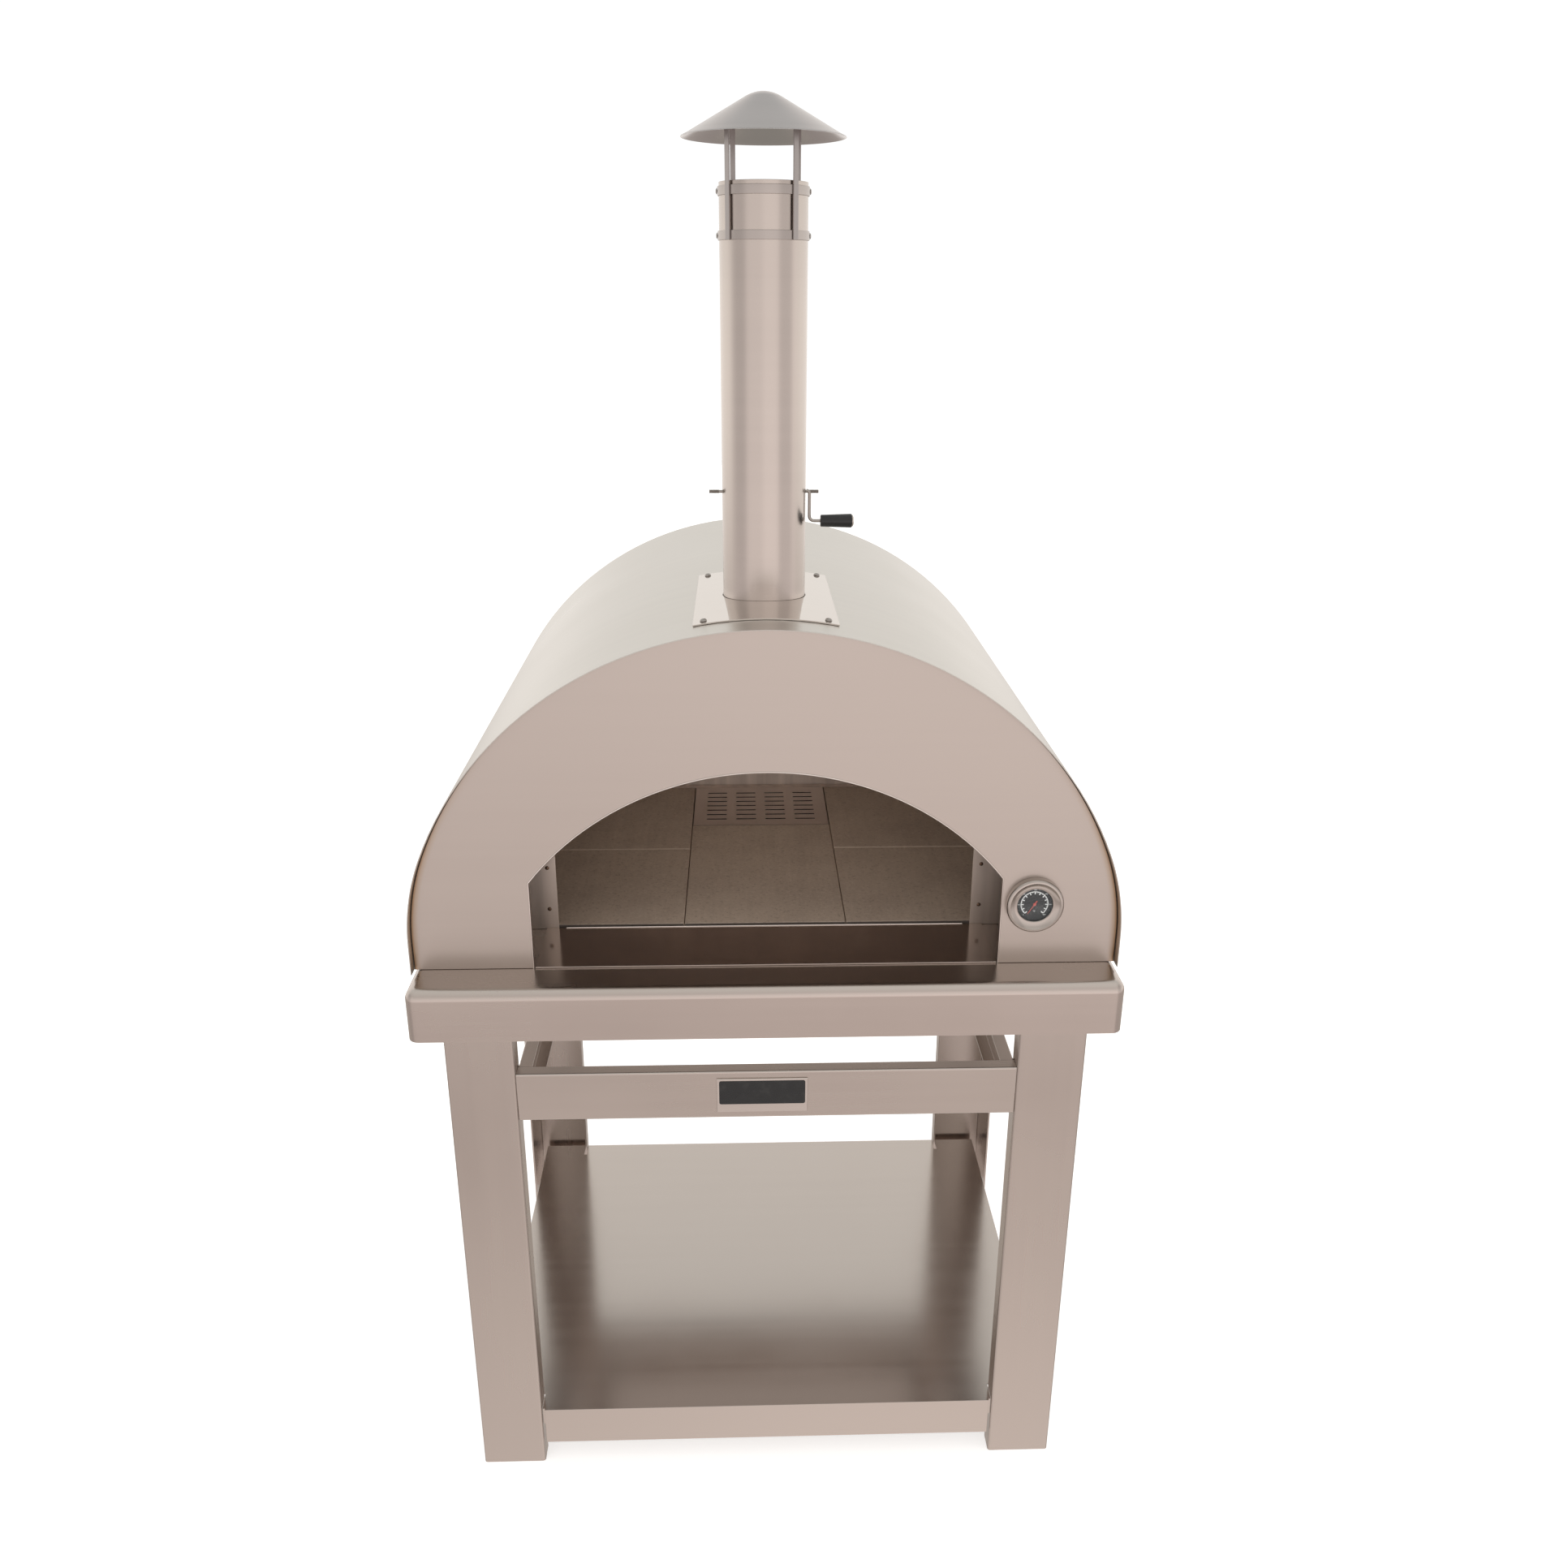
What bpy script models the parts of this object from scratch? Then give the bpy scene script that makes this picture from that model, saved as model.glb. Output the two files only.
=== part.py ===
"""Wood fired pizza oven: a stainless arch on a folded steel stand, with a flue, damper and rain cap.

Metres, +Z up, front towards -Y, origin on the floor under the middle of the worktop.
"""

from math import acos, asin, cos, pi, sin, sqrt

import bmesh
import bpy
from mathutils import Matrix, Vector

# Fits
CLEARANCE = 0.0003  # between pieces that touch
RUNNING = 0.0004  # radial, round a shaft that turns
BOLT_PLAY = 0.0005  # radial, round a bolt or a probe

# Worktop and base
OVEN_WIDTH = 1.000
OVEN_DEPTH = 0.930
LIP_HEIGHT = 0.078
LIP_ROUND = 0.015
LIP_RETURN = 0.040
WORKTOP_SHEET = 0.002
PAN_SHEET = 0.003
PAN_INSET = 0.030

# Stand
LEG_HEIGHT = 0.780
STAND_WIDTH = 0.907
STAND_DEPTH = 0.700
STAND_SETBACK = 0.011  # leg faces behind the worktop's front
LEG_FACE = 0.097
LEG_SIDE = 0.105
LEG_RETURN = 0.030
LEG_SHEET = 0.003
LEG_BEND = 0.004
RAIL_HEIGHT = 0.077
RAIL_FLANGE = 0.020
RAIL_SHEET = 0.002
RAIL_DROP = 0.058  # below the leg tops
RAIL_SETBACK = 0.001  # front rail's face behind the leg faces
SHELF_HEIGHT = 0.105
SHELF_SHEET = 0.002
SHELF_FRONT_LIP = 0.066
SHELF_SIDE_LIP = 0.030
SHELF_SIDE_GAP = 0.012  # from the legs' outer walls
SHELF_LIP_GAP = 0.004  # from the legs' returns
SHELF_REAR_GAP = 0.010
BADGE_WIDTH = 0.130
BADGE_HEIGHT = 0.055
BADGE_THICKNESS = 0.002
BADGE_OFFSET = -0.008

# Outer shell, a three-centre arch
SHELL_INSET = 0.001  # feet inside the worktop's sides
SHELL_FRONT = 0.050
SHELL_LENGTH = 0.870
SHELL_SHEET = 0.0015
ARCH_RISE = 0.4935
ARCH_STRAIGHT = 0.044
ARCH_SIDE_RADIUS = 0.347
PANEL_RECESS = 0.0165
PANEL_SHEET = 0.0015

# Mouth in the front panel, and the narrower one in the chamber's front wall
MOUTH_WIDTH = 0.660
MOUTH_SIDE = 0.1325
MOUTH_RISE = 0.293
MOUTH_RETURN = 0.010
PORCH_DEPTH = 0.1225
CHAMBER_MOUTH_WIDTH = 0.619
CHAMBER_MOUTH_SIDE = 0.125
CHAMBER_MOUTH_RISE = 0.270

# Chamber
CHAMBER_WIDTH = 0.810
CHAMBER_RISE = 0.390
CHAMBER_STRAIGHT = 0.040
CHAMBER_SIDE_RADIUS = 0.270
CHAMBER_SHEET = 0.002
INSULATION_GAP = 0.006  # under the shell, over the bolt ends

# Hearth
HEARTH_LENGTH = 0.572
CENTRE_TILE_WIDTH = 0.243
GRATE_LENGTH = 0.186
FRONT_TILE_LENGTH = 0.281
TILE_THICKNESS = 0.030
TILE_PROUD = 0.006  # tile tops above the worktop
TILE_JOINT = 0.001
TILE_SIDE_GAP = 0.002  # to the edge of the worktop's cut-out
REAR_STRIP = 0.016
SILL_SHEET = 0.002
SILL_SIDE_GAP = 0.002
GRATE_SHEET = 0.002
GRATE_SLOT = 0.037
GRATE_SLOT_WIDTH = 0.005
GRATE_COLUMNS = 4
GRATE_ROWS = 7
GRATE_COLUMN_PITCH = 0.053
GRATE_ROW_PITCH = 0.0215

# Flue
FLUE_FROM_FRONT = 0.262
FLUE_RADIUS = 0.058
FLUE_WALL = 0.001
FLUE_ABOVE = 0.536
SADDLE_WIDTH = 0.194
SADDLE_LENGTH = 0.318
SADDLE_SHEET = 0.002
SADDLE_HOLE_GAP = 0.0012
BOLT_EDGE = 0.0135  # bolt centres inside the saddle plate's edges
BOLT_HEAD_RADIUS = 0.0048
BOLT_HEAD_HEIGHT = 0.0032
BOLT_RADIUS = 0.0025
BOLT_LENGTH = 0.0075

# Damper
DAMPER_ABOVE = 0.144  # shaft above the shell's crown
SHAFT_RADIUS = 0.0025
SHAFT_OUT = 0.018  # each end beyond the pipe
DAMPER_EDGE_GAP = 0.0015
DAMPER_SHEET = 0.0015
DAMPER_SCREW_PITCH = 0.050
DAMPER_SCREW_RADIUS = 0.0011
DAMPER_SCREW_HEAD = 0.0022
CRANK_RADIUS = 0.0022
CRANK_BEND = 0.0065
CRANK_RISE = 0.002  # crank wire above the shaft's axis where they are welded
CRANK_ARM_OUT = 0.0056  # arm's axis beyond the pipe
CRANK_DROP = 0.0418
GRIP_LENGTH = 0.044
GRIP_OUT = 0.0208  # grip's near end beyond the pipe
GRIP_NEAR_RADIUS = 0.0083
GRIP_FAR_RADIUS = 0.0096
GRIP_ROUND = 0.0012
CRANK_IN_GRIP = 0.028
CAP_DOME = 0.003
CAP_SPIGOT = 0.010

# Rain cap
CAP_RADIUS = 0.106
CAP_CONE = 0.056  # height of the cone before its tip is rounded
CAP_TIP_RADIUS = 0.014
CAP_SHEET = 0.001
CAP_ABOVE_FLUE = 0.0525
STRUT_WIDTH = 0.008
STRUT_THICKNESS = 0.002
STRUT_TURN = -4.5  # degrees round from the diagonals
BAND_HEIGHT = 0.0115
BAND_THICKNESS = 0.0015
UPPER_BAND_DROP = 0.005  # band tops below the flue's top
LOWER_BAND_DROP = 0.058
BAND_SCREW_RADIUS = 0.0015
BAND_SCREW_HEAD = 0.004
BAND_SCREW_HEAD_HEIGHT = 0.0018
BAND_SCREW_LENGTH = 0.0045

# Thermometer
THERMOMETER_X = 0.376
THERMOMETER_ABOVE = 0.094  # over the worktop
BEZEL_RADIUS = 0.0405
BEZEL_HEIGHT = 0.012
BEZEL_ROUND = 0.004
BEZEL_INNER_HEIGHT = 0.0095
DIAL_WINDOW = 0.0250
DIAL_RADIUS = 0.0290
DIAL_SHEET = 0.0008
LENS_THICKNESS = 0.0015
LENS_SEAT = 0.0046
PROBE_FLANGE = 0.0010
PROBE_RADIUS = 0.0035
PROBE_REACH = 0.045  # beyond the chamber's front wall
NUT_RADIUS = 0.0075
NUT_HEIGHT = 0.005
NEEDLE_LENGTH = 0.0175
NEEDLE_TAIL = 0.006
NEEDLE_WIDTH = 0.0018
NEEDLE_SHEET = 0.0007
NEEDLE_HUB = 0.0022
NEEDLE_PIN = 0.0008
NEEDLE_PIN_PLAY = 0.0005
NEEDLE_REST = -148  # degrees clockwise from straight up

# Levels and planes that the pieces share
FRONT = -OVEN_DEPTH / 2
PAN_BOTTOM = LEG_HEIGHT + CLEARANCE
PAN_TOP = PAN_BOTTOM + PAN_SHEET
WORKTOP_BOTTOM = PAN_TOP + CLEARANCE
WORKTOP_TOP = WORKTOP_BOTTOM + LIP_HEIGHT
BODY_FOOT = WORKTOP_TOP + CLEARANCE
SHELL_HALF = OVEN_WIDTH / 2 - SHELL_INSET
SHELL_Y0 = FRONT + SHELL_FRONT
SHELL_Y1 = SHELL_Y0 + SHELL_LENGTH
SHELL_CROWN = BODY_FOOT + ARCH_RISE
PANEL_Y0 = SHELL_Y0 + PANEL_RECESS
PANEL_Y1 = PANEL_Y0 + PANEL_SHEET
REAR_PANEL_Y1 = SHELL_Y1 - PANEL_RECESS
REAR_PANEL_Y0 = REAR_PANEL_Y1 - PANEL_SHEET
CHAMBER_FRONT_Y0 = PANEL_Y0 + PORCH_DEPTH
CHAMBER_FRONT_Y1 = CHAMBER_FRONT_Y0 + CHAMBER_SHEET
HEARTH_Y0 = CHAMBER_FRONT_Y1 + CLEARANCE
HEARTH_Y1 = HEARTH_Y0 + HEARTH_LENGTH
CHAMBER_REAR_Y0 = HEARTH_Y1 + TILE_JOINT + REAR_STRIP + CLEARANCE
CHAMBER_REAR_Y1 = CHAMBER_REAR_Y0 + CHAMBER_SHEET
TILE_TOP = WORKTOP_TOP + TILE_PROUD
TILE_BOTTOM = TILE_TOP - TILE_THICKNESS
HEARTH_HALF = CHAMBER_WIDTH / 2 - TILE_SIDE_GAP
CHAMBER_CROWN = BODY_FOOT + CHAMBER_RISE
FLUE_Y = FRONT + FLUE_FROM_FRONT
FLUE_TOP = SHELL_CROWN + FLUE_ABOVE
FLUE_HOLE = FLUE_RADIUS + SADDLE_HOLE_GAP
FLUE_INNER = FLUE_RADIUS - FLUE_WALL
DAMPER_Z = SHELL_CROWN + DAMPER_ABOVE
CAP_RIM = FLUE_TOP + CAP_ABOVE_FLUE
BAND_INNER = FLUE_RADIUS + CLEARANCE
BAND_OUTER = BAND_INNER + BAND_THICKNESS
STRUT_INNER = BAND_OUTER + CLEARANCE
STAND_FRONT = FRONT + STAND_SETBACK
STAND_REAR = STAND_FRONT + STAND_DEPTH
LEG_OUTER = STAND_WIDTH / 2
LEG_INNER = LEG_OUTER - LEG_FACE
THERMOMETER_Z = WORKTOP_TOP + THERMOMETER_ABOVE


# --- scene, materials and objects -------------------------------------------------------------


def cleared_collection(name):
    """A new collection in an empty scene."""
    for obj in list(bpy.data.objects):
        bpy.data.objects.remove(obj, do_unlink=True)
    return new_collection(name)


def new_collection(name):
    collection = bpy.data.collections.new(name)
    bpy.context.scene.collection.children.link(collection)
    return collection


def material(name, colour, roughness, metallic):
    mat = bpy.data.materials.new(name)
    mat.use_nodes = True
    shader = mat.node_tree.nodes["Principled BSDF"]
    shader.inputs["Base Color"].default_value = (*colour, 1.0)
    shader.inputs["Roughness"].default_value = roughness
    shader.inputs["Metallic"].default_value = metallic
    mat.diffuse_color = (*colour, 1.0)
    return mat


def add_object(name, data, mat=None, location=(0, 0, 0), collection=None):
    obj = bpy.data.objects.new(name, data)
    (collection or OVEN).objects.link(obj)
    obj.location = location
    if mat:
        data.materials.append(mat)
    return obj


def mesh_of(bm, name):
    """A mesh of bm with its normals pointing out, and bm freed."""
    bmesh.ops.recalc_face_normals(bm, faces=bm.faces[:])
    mesh = bpy.data.meshes.new(name)
    bm.to_mesh(mesh)
    bm.free()
    return mesh


def smooth(obj, degrees=35):
    obj.data.shade_smooth()
    obj.data.set_sharp_from_angle(angle=degrees * pi / 180)
    return obj


def as_cutter(obj):
    obj.hide_render = True
    obj.display_type = "WIRE"
    return obj


def boolean(obj, other, operation="DIFFERENCE"):
    modifier = obj.modifiers.new(other.name, "BOOLEAN")
    modifier.operation = operation
    modifier.solver = "EXACT"
    modifier.object = other
    return obj


# --- shapes -----------------------------------------------------------------------------------


def box(name, x, y, z, mat, collection=None):
    """A box between the pairs x, y and z."""
    bm = bmesh.new()
    bmesh.ops.create_cube(bm, size=1)
    size = Vector((x[1] - x[0], y[1] - y[0], z[1] - z[0]))
    bmesh.ops.scale(bm, verts=bm.verts[:], vec=size)
    centre = ((x[0] + x[1]) / 2, (y[0] + y[1]) / 2, (z[0] + z[1]) / 2)
    return add_object(name, mesh_of(bm, name), mat, centre, collection)


def cutter_box(name, x, y, z):
    return as_cutter(box(name, x, y, z, None, CUTTERS))


AXIS_TURN = {
    "X": Matrix.Rotation(pi / 2, 4, "Y"),
    "Y": Matrix.Rotation(-pi / 2, 4, "X"),
    "Z": Matrix.Identity(4),
}


def rod(name, radius, length, centre, mat, axis="Z", sides=24, collection=None):
    """A cylinder of this length along an axis, about centre."""
    bm = bmesh.new()
    bmesh.ops.create_cone(
        bm, cap_ends=True, segments=sides, radius1=radius, radius2=radius, depth=length
    )
    bmesh.ops.transform(bm, matrix=AXIS_TURN[axis], verts=bm.verts[:])
    return add_object(name, mesh_of(bm, name), mat, centre, collection)


def cutter_rod(name, radius, length, centre, axis="Z", sides=24):
    return as_cutter(rod(name, radius, length, centre, None, axis, sides, CUTTERS))


def turned(name, profile, centre, mat, sides=32, rotation=(0, 0, 0), closed=True):
    """A closed (radius, height) profile turned about local Z. It runs down its outer side."""
    bm = bmesh.new()
    verts = [bm.verts.new((r, 0, z)) for r, z in profile]
    pairs = list(zip(verts, verts[1:]))
    if closed:
        pairs.append((verts[-1], verts[0]))
    for pair in pairs:
        bm.edges.new(pair)
    mesh = bpy.data.meshes.new(name)
    bm.to_mesh(mesh)
    bm.free()
    obj = add_object(name, mesh, mat, centre)
    obj.rotation_euler = rotation
    screw = obj.modifiers.new("Turn", "SCREW")
    screw.steps = sides
    screw.render_steps = sides
    screw.use_merge_vertices = True
    screw.merge_threshold = 0.00001
    screw.use_smooth_shade = False
    return obj


def arc(centre, radius, start, end, steps):
    """Points on an arc, both ends included, with the angles in degrees."""
    turn = (end - start) / steps
    angles = [(start + turn * i) * pi / 180 for i in range(steps + 1)]
    return [(centre[0] + radius * cos(a), centre[1] + radius * sin(a)) for a in angles]


def filleted(points, radius, steps=3):
    """An open outline with each inner corner rounded."""
    out = [Vector(points[0])]
    for before, corner, after in zip(points, points[1:], points[2:]):
        corner = Vector(corner)
        to_before = (Vector(before) - corner).normalized()
        to_after = (Vector(after) - corner).normalized()
        half = to_before.angle(to_after) / 2
        reach = radius / sin(half) * cos(half)
        centre = corner + (to_before + to_after).normalized() * radius / sin(half)
        first = corner + to_before * reach - centre
        last = corner + to_after * reach - centre
        sweep = first.angle_signed(last)
        for i in range(steps + 1):
            turn = Matrix.Rotation(-sweep * i / steps, 2)
            out.append(centre + turn @ first)
    out.append(Vector(points[-1]))
    return out


def folded(name, outline, length, thickness, mat, centre, side=1, axis="Z", bend=0.0):
    """A sheet folded along an open outline in local XY, of this length, thickened to one side."""
    points = filleted(outline, bend) if bend else [Vector(p) for p in outline]
    bm = bmesh.new()
    verts = [bm.verts.new((*p, -length / 2)) for p in points]
    edges = [bm.edges.new(pair) for pair in zip(verts, verts[1:])]
    grown = bmesh.ops.extrude_edge_only(bm, edges=edges)["geom"]
    top = [v for v in grown if isinstance(v, bmesh.types.BMVert)]
    bmesh.ops.translate(bm, verts=top, vec=(0, 0, length))
    if axis == "Y":
        # Local XY becomes world XZ, and the length runs along Y.
        bmesh.ops.rotate(bm, verts=bm.verts[:], matrix=Matrix.Rotation(pi / 2, 3, "X"))
    if axis == "X":
        # Local XY becomes world YZ, and the length runs along X.
        turn = Matrix.Rotation(pi / 2, 3, "X")
        bmesh.ops.rotate(bm, verts=bm.verts[:], matrix=Matrix.Rotation(pi / 2, 3, "Z") @ turn)
    mesh = bpy.data.meshes.new(name)
    bm.to_mesh(mesh)
    bm.free()
    obj = add_object(name, mesh, mat, centre)
    solidify = obj.modifiers.new("Sheet", "SOLIDIFY")
    solidify.thickness = thickness
    solidify.offset = side
    solidify.use_even_offset = True
    return obj


def plate(name, outlines, y, mat):
    """A flat plate between the pair y. Its closed outlines are (x, z) points, inner ones holes."""
    curve = bpy.data.curves.new(name, "CURVE")
    curve.dimensions = "2D"
    curve.fill_mode = "BOTH"
    curve.extrude = (y[1] - y[0]) / 2
    for outline in outlines:
        spline = curve.splines.new("POLY")
        spline.points.add(len(outline) - 1)
        for point, (px, pz) in zip(spline.points, outline):
            point.co = (px, pz, 0, 1)
        spline.use_cyclic_u = True
    flat = add_object(name + "_outline", curve)
    flat.rotation_euler = (pi / 2, 0, 0)
    flat.location = (0, (y[0] + y[1]) / 2, 0)
    return meshed(flat, name, mat)


def meshed(curve_object, name, mat):
    """The curve object's solid as a mesh object in its place."""
    bpy.context.view_layer.update()
    graph = bpy.context.evaluated_depsgraph_get()
    mesh = bpy.data.meshes.new_from_object(curve_object.evaluated_get(graph))
    bm = bmesh.new()
    bm.from_mesh(mesh)
    bmesh.ops.remove_doubles(bm, verts=bm.verts[:], dist=0.000001)
    bmesh.ops.recalc_face_normals(bm, faces=bm.faces[:])
    bm.to_mesh(mesh)
    bm.free()
    mesh.materials.clear()
    mesh.name = name
    obj = add_object(name, mesh, mat)
    obj.matrix_world = curve_object.matrix_world
    bpy.data.objects.remove(curve_object, do_unlink=True)
    return obj


class Arch:
    """A three-centre arch on straight feet, in (x, z), inset from its outer line as asked."""

    def __init__(self, half, rise, straight, side_radius):
        self.half = half
        self.rise = rise
        self.straight = straight
        self.side_radius = side_radius
        height = rise - straight
        crown = half**2 + height**2 - 2 * half * side_radius
        self.crown_radius = crown / (2 * (height - side_radius))
        drop = self.crown_radius - height
        across = half - side_radius
        self.join = asin(across / (self.crown_radius - side_radius)) * 180 / pi
        self.crown_centre = straight - drop
        self.side_centre = across

    def line(self, inset=0.0, foot=None, side_steps=8, crown_steps=14):
        """From the right foot over the crown to the left foot."""
        foot = BODY_FOOT if foot is None else foot
        lift = BODY_FOOT
        side = self.side_radius - inset
        crown = self.crown_radius - inset
        spring = lift + self.straight
        right = arc((self.side_centre, spring), side, 0, 90 - self.join, side_steps)
        top = arc(
            (0, lift + self.crown_centre), crown, 90 - self.join, 90 + self.join, crown_steps
        )
        left = [(-px, pz) for px, pz in reversed(right)]
        ends = (self.half - inset, foot)
        return [ends] + right + top[1:-1] + left + [(-ends[0], ends[1])]


def mouth_line(width, side, rise, grow=0.0, steps=20):
    """A mouth's outline with straight sides and one arc over them, from right foot to left foot."""
    half = width / 2
    over = rise - side
    radius = (half**2 + over**2) / (2 * over)
    start = acos(half / radius) * 180 / pi
    centre = (0, BODY_FOOT + rise - radius)
    top = arc(centre, radius + grow, start, 180 - start, steps)
    top = [(px * (half + grow) / top[0][0], pz) for px, pz in top]
    return [(half + grow, BODY_FOOT)] + top + [(-half - grow, BODY_FOOT)]


# --- stand ------------------------------------------------------------------------------------


def build_legs():
    """Folded channels, their open sides facing each other from front to rear."""
    for end, face_y, inward in (("front", STAND_FRONT, 1), ("rear", STAND_REAR, -1)):
        for name, hand in (("left", -1), ("right", 1)):
            outline = [
                (hand * LEG_INNER, face_y + inward * LEG_RETURN),
                (hand * LEG_INNER, face_y),
                (hand * LEG_OUTER, face_y),
                (hand * LEG_OUTER, face_y + inward * LEG_SIDE),
            ]
            centre = (0, 0, LEG_HEIGHT / 2)
            side = hand * inward
            folded(
                f"leg_{end}_{name}", outline, LEG_HEIGHT, LEG_SHEET, STEEL, centre, side, bend=LEG_BEND
            )


def build_rails():
    half = LEG_INNER - CLEARANCE
    top = LEG_HEIGHT - RAIL_DROP
    channel = [
        (RAIL_FLANGE, RAIL_HEIGHT / 2),
        (0, RAIL_HEIGHT / 2),
        (0, -RAIL_HEIGHT / 2),
        (RAIL_FLANGE, -RAIL_HEIGHT / 2),
    ]
    mirrored = [(-px, pz) for px, pz in channel]
    middle = top - RAIL_HEIGHT / 2
    front = (0, STAND_FRONT + RAIL_SETBACK, middle)
    rear = (0, STAND_REAR - RAIL_SETBACK, middle)
    folded("front_rail", channel, 2 * half, RAIL_SHEET, STEEL, front, 1, "X", RAIL_SHEET * 1.5)
    folded("rear_rail", mirrored, 2 * half, RAIL_SHEET, STEEL, rear, -1, "X", RAIL_SHEET * 1.5)
    gap = RAIL_SETBACK + RAIL_FLANGE + CLEARANCE
    length = STAND_DEPTH - 2 * gap
    y = (STAND_FRONT + STAND_REAR) / 2
    left = (-half, y, middle)
    right = (half, y, middle)
    folded("side_rail_left", channel, length, RAIL_SHEET, STEEL, left, 1, "Y", RAIL_SHEET * 1.5)
    folded("side_rail_right", mirrored, length, RAIL_SHEET, STEEL, right, -1, "Y", RAIL_SHEET * 1.5)


def build_shelf():
    """A tray between the legs' outer walls, slit where the legs' returns stand."""
    half = LEG_OUTER - LEG_SHEET - SHELF_SIDE_GAP
    y0 = STAND_FRONT + LEG_SHEET + CLEARANCE
    y1 = STAND_REAR - LEG_SHEET - SHELF_REAR_GAP
    bm = bmesh.new()
    bmesh.ops.create_cube(bm, size=1)
    bmesh.ops.scale(bm, verts=bm.verts[:], vec=(2 * half, y1 - y0, SHELF_SIDE_LIP))
    below = [face for face in bm.faces if face.normal.z < -0.5]
    bmesh.ops.delete(bm, geom=below, context="FACES_ONLY")
    mesh = bpy.data.meshes.new("shelf")
    bm.to_mesh(mesh)
    bm.free()
    shelf = add_object("shelf", mesh, STEEL, (0, (y0 + y1) / 2, SHELF_HEIGHT - SHELF_SIDE_LIP / 2))
    sheet = shelf.modifiers.new("Sheet", "SOLIDIFY")
    sheet.thickness = SHELF_SHEET
    sheet.offset = -1
    sheet.use_even_offset = True
    lip = LEG_INNER - SHELF_LIP_GAP
    front_lip = cutter_box(
        "shelf_front_lip",
        (-lip, lip),
        (STAND_FRONT + CLEARANCE, y0 + SHELF_SHEET),
        (SHELF_HEIGHT - SHELF_FRONT_LIP, SHELF_HEIGHT),
    )
    boolean(shelf, front_lip, "UNION")
    slit = 2 * CLEARANCE
    for end, edge in (("front", y0 - slit), ("rear", y1 - LEG_RETURN)):
        for name, hand in (("left", -1), ("right", 1)):
            x = sorted((hand * (LEG_INNER - slit), hand * (LEG_INNER + LEG_BEND + slit)))
            reach = LEG_RETURN + 3 * slit
            cut = cutter_box(
                f"shelf_slit_{end}_{name}", x, (edge - slit, edge + reach), (0, SHELF_HEIGHT + slit)
            )
            boolean(shelf, cut)


def build_badge():
    y1 = STAND_FRONT + RAIL_SETBACK - CLEARANCE
    middle = LEG_HEIGHT - RAIL_DROP - RAIL_HEIGHT / 2
    badge = box(
        "badge_plate",
        (BADGE_OFFSET - BADGE_WIDTH / 2, BADGE_OFFSET + BADGE_WIDTH / 2),
        (y1 - BADGE_THICKNESS, y1),
        (middle - BADGE_HEIGHT / 2, middle + BADGE_HEIGHT / 2),
        BRIGHT,
    )
    rounded = badge.modifiers.new("Edges", "BEVEL")
    rounded.width = BADGE_THICKNESS / 4
    rounded.segments = 1


# --- base and hearth --------------------------------------------------------------------------


def build_worktop():
    """A tray upside down: a top, four lips and a return under them, cut out over the hearth."""
    box(
        "base_pan",
        (-OVEN_WIDTH / 2 + PAN_INSET, OVEN_WIDTH / 2 - PAN_INSET),
        (FRONT + PAN_INSET, -FRONT - PAN_INSET),
        (PAN_BOTTOM, PAN_TOP),
        DARK_STEEL,
    )
    bm = bmesh.new()
    bmesh.ops.create_cube(bm, size=1)
    bmesh.ops.scale(bm, verts=bm.verts[:], vec=(OVEN_WIDTH, OVEN_DEPTH, LIP_HEIGHT))
    below = [face for face in bm.faces if face.normal.z < -0.5]
    bmesh.ops.inset_region(bm, faces=below, thickness=LIP_RETURN, use_even_offset=True)
    bmesh.ops.delete(bm, geom=below, context="FACES_ONLY")
    rounded = [e for e in bm.edges if sum(v.co.z for v in e.verts) > -LIP_HEIGHT / 2]
    bmesh.ops.bevel(
        bm, geom=rounded, affect="EDGES", offset=LIP_ROUND, segments=3, profile=0.5, material=-1
    )
    mesh = bpy.data.meshes.new("worktop")
    bm.to_mesh(mesh)
    bm.free()
    middle = (WORKTOP_BOTTOM + WORKTOP_TOP) / 2
    worktop = add_object("worktop", mesh, STEEL, (0, 0, middle))
    sheet = worktop.modifiers.new("Sheet", "SOLIDIFY")
    sheet.thickness = WORKTOP_SHEET
    sheet.offset = -1
    sheet.use_even_offset = True
    sheet.use_quality_normals = True
    cut = cutter_box(
        "hearth_cut",
        (-HEARTH_HALF, HEARTH_HALF),
        (HEARTH_Y0 - CLEARANCE, CHAMBER_REAR_Y0 + CLEARANCE),
        (WORKTOP_TOP - 2 * WORKTOP_SHEET, WORKTOP_TOP + WORKTOP_SHEET),
    )
    boolean(worktop, cut)


def build_hearth():
    half = HEARTH_HALF - CLEARANCE
    rear = HEARTH_Y1 + TILE_JOINT + REAR_STRIP
    board_z = (PAN_TOP + CLEARANCE, TILE_BOTTOM - CLEARANCE)
    box("hearth_board", (-half, half), (HEARTH_Y0, rear), board_z, BOARD)
    z = (TILE_BOTTOM, TILE_TOP)
    centre = CENTRE_TILE_WIDTH / 2
    grate_y0 = HEARTH_Y1 - GRATE_LENGTH
    tile("floor_tile_centre", (-centre, centre), (HEARTH_Y0, grate_y0 - TILE_JOINT), z)
    seam = HEARTH_Y0 + FRONT_TILE_LENGTH
    for name, hand in (("left", -1), ("right", 1)):
        x = sorted((hand * (centre + TILE_JOINT), hand * half))
        tile(f"floor_tile_front_{name}", x, (HEARTH_Y0, seam), z)
        tile(f"floor_tile_rear_{name}", x, (seam + TILE_JOINT, HEARTH_Y1), z)
    box("hearth_rear_strip", (-half, half), (HEARTH_Y1 + TILE_JOINT, rear), z, STEEL)
    build_grate(centre - TILE_JOINT, grate_y0)


def tile(name, x, y, z):
    box(name, x, y, z, TILE)


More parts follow.
